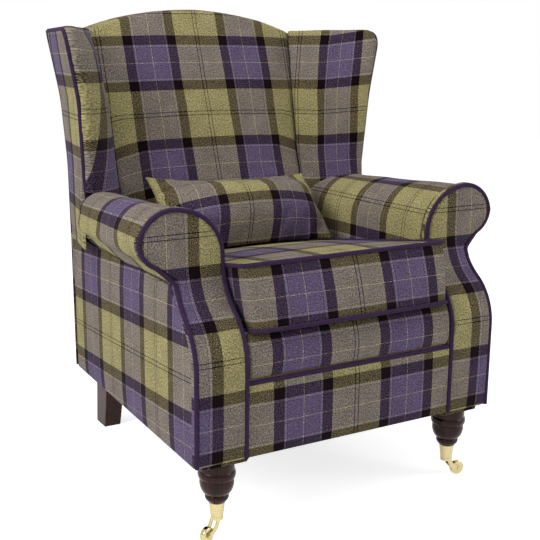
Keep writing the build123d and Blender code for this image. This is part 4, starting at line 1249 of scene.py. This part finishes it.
class ARMCHAIR_OT_stage(bpy.types.Operator):
    """White floor, soft studio light and the camera at the photo's angle"""

    bl_idname = "armchair.stage"
    bl_label = "Stage"

    def execute(self, context):
        bpy.ops.mesh.primitive_plane_add(size=FLOOR_SIZE)
        floor = context.object
        floor.name = "floor"
        floor.data.materials.append(white_floor())
        context.scene.world = soft_world()
        for name, size, energy, place in LAMPS:
            light = bpy.data.lights.new(name, "AREA")
            light.size = size
            light.energy = energy
            lamp = link_object(name, light)
            lamp.location = place
            aim = Vector(LAMP_AIM) - lamp.location
            lamp.rotation_euler = aim.to_track_quat("-Z", "Y").to_euler()
        lens = bpy.data.cameras.new("camera")
        lens.lens = CAMERA_LENS
        lens.sensor_width = CAMERA_SENSOR
        lens.shift_x, lens.shift_y = CAMERA_SHIFT
        camera = link_object("camera", lens)
        camera.location = CAMERA_PLACE
        camera.rotation_euler = Vector(CAMERA_BACKWARD).to_track_quat("Z", "Y").to_euler()
        context.scene.camera = camera
        context.scene.view_settings.view_transform = "Standard"
        return {"FINISHED"}


def seen_or_mirrored(tree):
    """1 where the camera, a mirror or glass looks, 0 where only light travels."""
    path = add_node(tree, "ShaderNodeLightPath")
    looks = [path.outputs[f"Is {kind} Ray"] for kind in ("Camera", "Glossy", "Transmission")]
    return math_node(tree, "MAXIMUM", math_node(tree, "MAXIMUM", looks[0], looks[1]), looks[2])


def soft_world():
    """Even pale light from all round; white where it is looked at."""
    world = bpy.data.worlds.new("studio")
    world.use_nodes = True
    tree = world.node_tree
    tree.nodes.clear()
    output = tree.nodes.new("ShaderNodeOutputWorld")
    light = add_node(
        tree, "ShaderNodeBackground", {"Color": linear("F2F3F5"), "Strength": WORLD_STRENGTH}
    )
    white = add_node(tree, "ShaderNodeBackground", {"Color": linear("FFFFFF"), "Strength": 1.0})
    shown = add_node(
        tree,
        "ShaderNodeMixShader",
        {0: seen_or_mirrored(tree), 1: light.outputs[0], 2: white.outputs[0]},
    )
    tree.links.new(shown.outputs[0], output.inputs["Surface"])
    return world


def white_floor():
    """White seamless paper: it takes the chair's shadow and is white beyond it."""
    material, tree, output = new_material("seamless_paper_matt")
    paper = add_node(tree, "ShaderNodeBsdfDiffuse", {"Color": linear("FFFFFF")})
    lift = add_node(
        tree, "ShaderNodeEmission", {"Color": linear("FFFFFF"), "Strength": FLOOR_LIFT}
    )
    both = add_node(tree, "ShaderNodeAddShader", {0: paper.outputs[0], 1: lift.outputs[0]})
    shown = add_node(
        tree,
        "ShaderNodeMixShader",
        {0: seen_or_mirrored(tree), 1: paper.outputs[0], 2: both.outputs[0]},
    )
    tree.links.new(shown.outputs[0], output.inputs["Surface"])
    return material


class ARMCHAIR_PT_panel(bpy.types.Panel):
    """The armchair's steps, in order"""

    bl_label = "Armchair"
    bl_idname = "ARMCHAIR_PT_panel"
    bl_space_type = "VIEW_3D"
    bl_region_type = "UI"
    bl_category = "Armchair"

    def draw(self, context):
        for step in STEPS:
            self.layout.operator(step.bl_idname)


STEPS = (
    ARMCHAIR_OT_back,
    ARMCHAIR_OT_wings,
    ARMCHAIR_OT_arms,
    ARMCHAIR_OT_seat,
    ARMCHAIR_OT_seat_cushion,
    ARMCHAIR_OT_lumbar_cushion,
    ARMCHAIR_OT_frame,
    ARMCHAIR_OT_stage,
)
CLASSES = (ArmchairCloth, ArmchairPadding, *STEPS, ARMCHAIR_PT_panel)


def register():
    for item in CLASSES:
        bpy.utils.register_class(item)
    bpy.types.Scene.armchair_cloth = PointerProperty(type=ArmchairCloth)
    bpy.types.Scene.armchair_padding = PointerProperty(type=ArmchairPadding)


def unregister():
    del bpy.types.Scene.armchair_padding
    del bpy.types.Scene.armchair_cloth
    for item in reversed(CLASSES):
        bpy.utils.unregister_class(item)


def main():
    """Build the armchair step by step."""
    register()
    for step in STEPS:
        group, name = step.bl_idname.split(".")
        getattr(getattr(bpy.ops, group), name)()


if __name__ == "__main__":
    main()
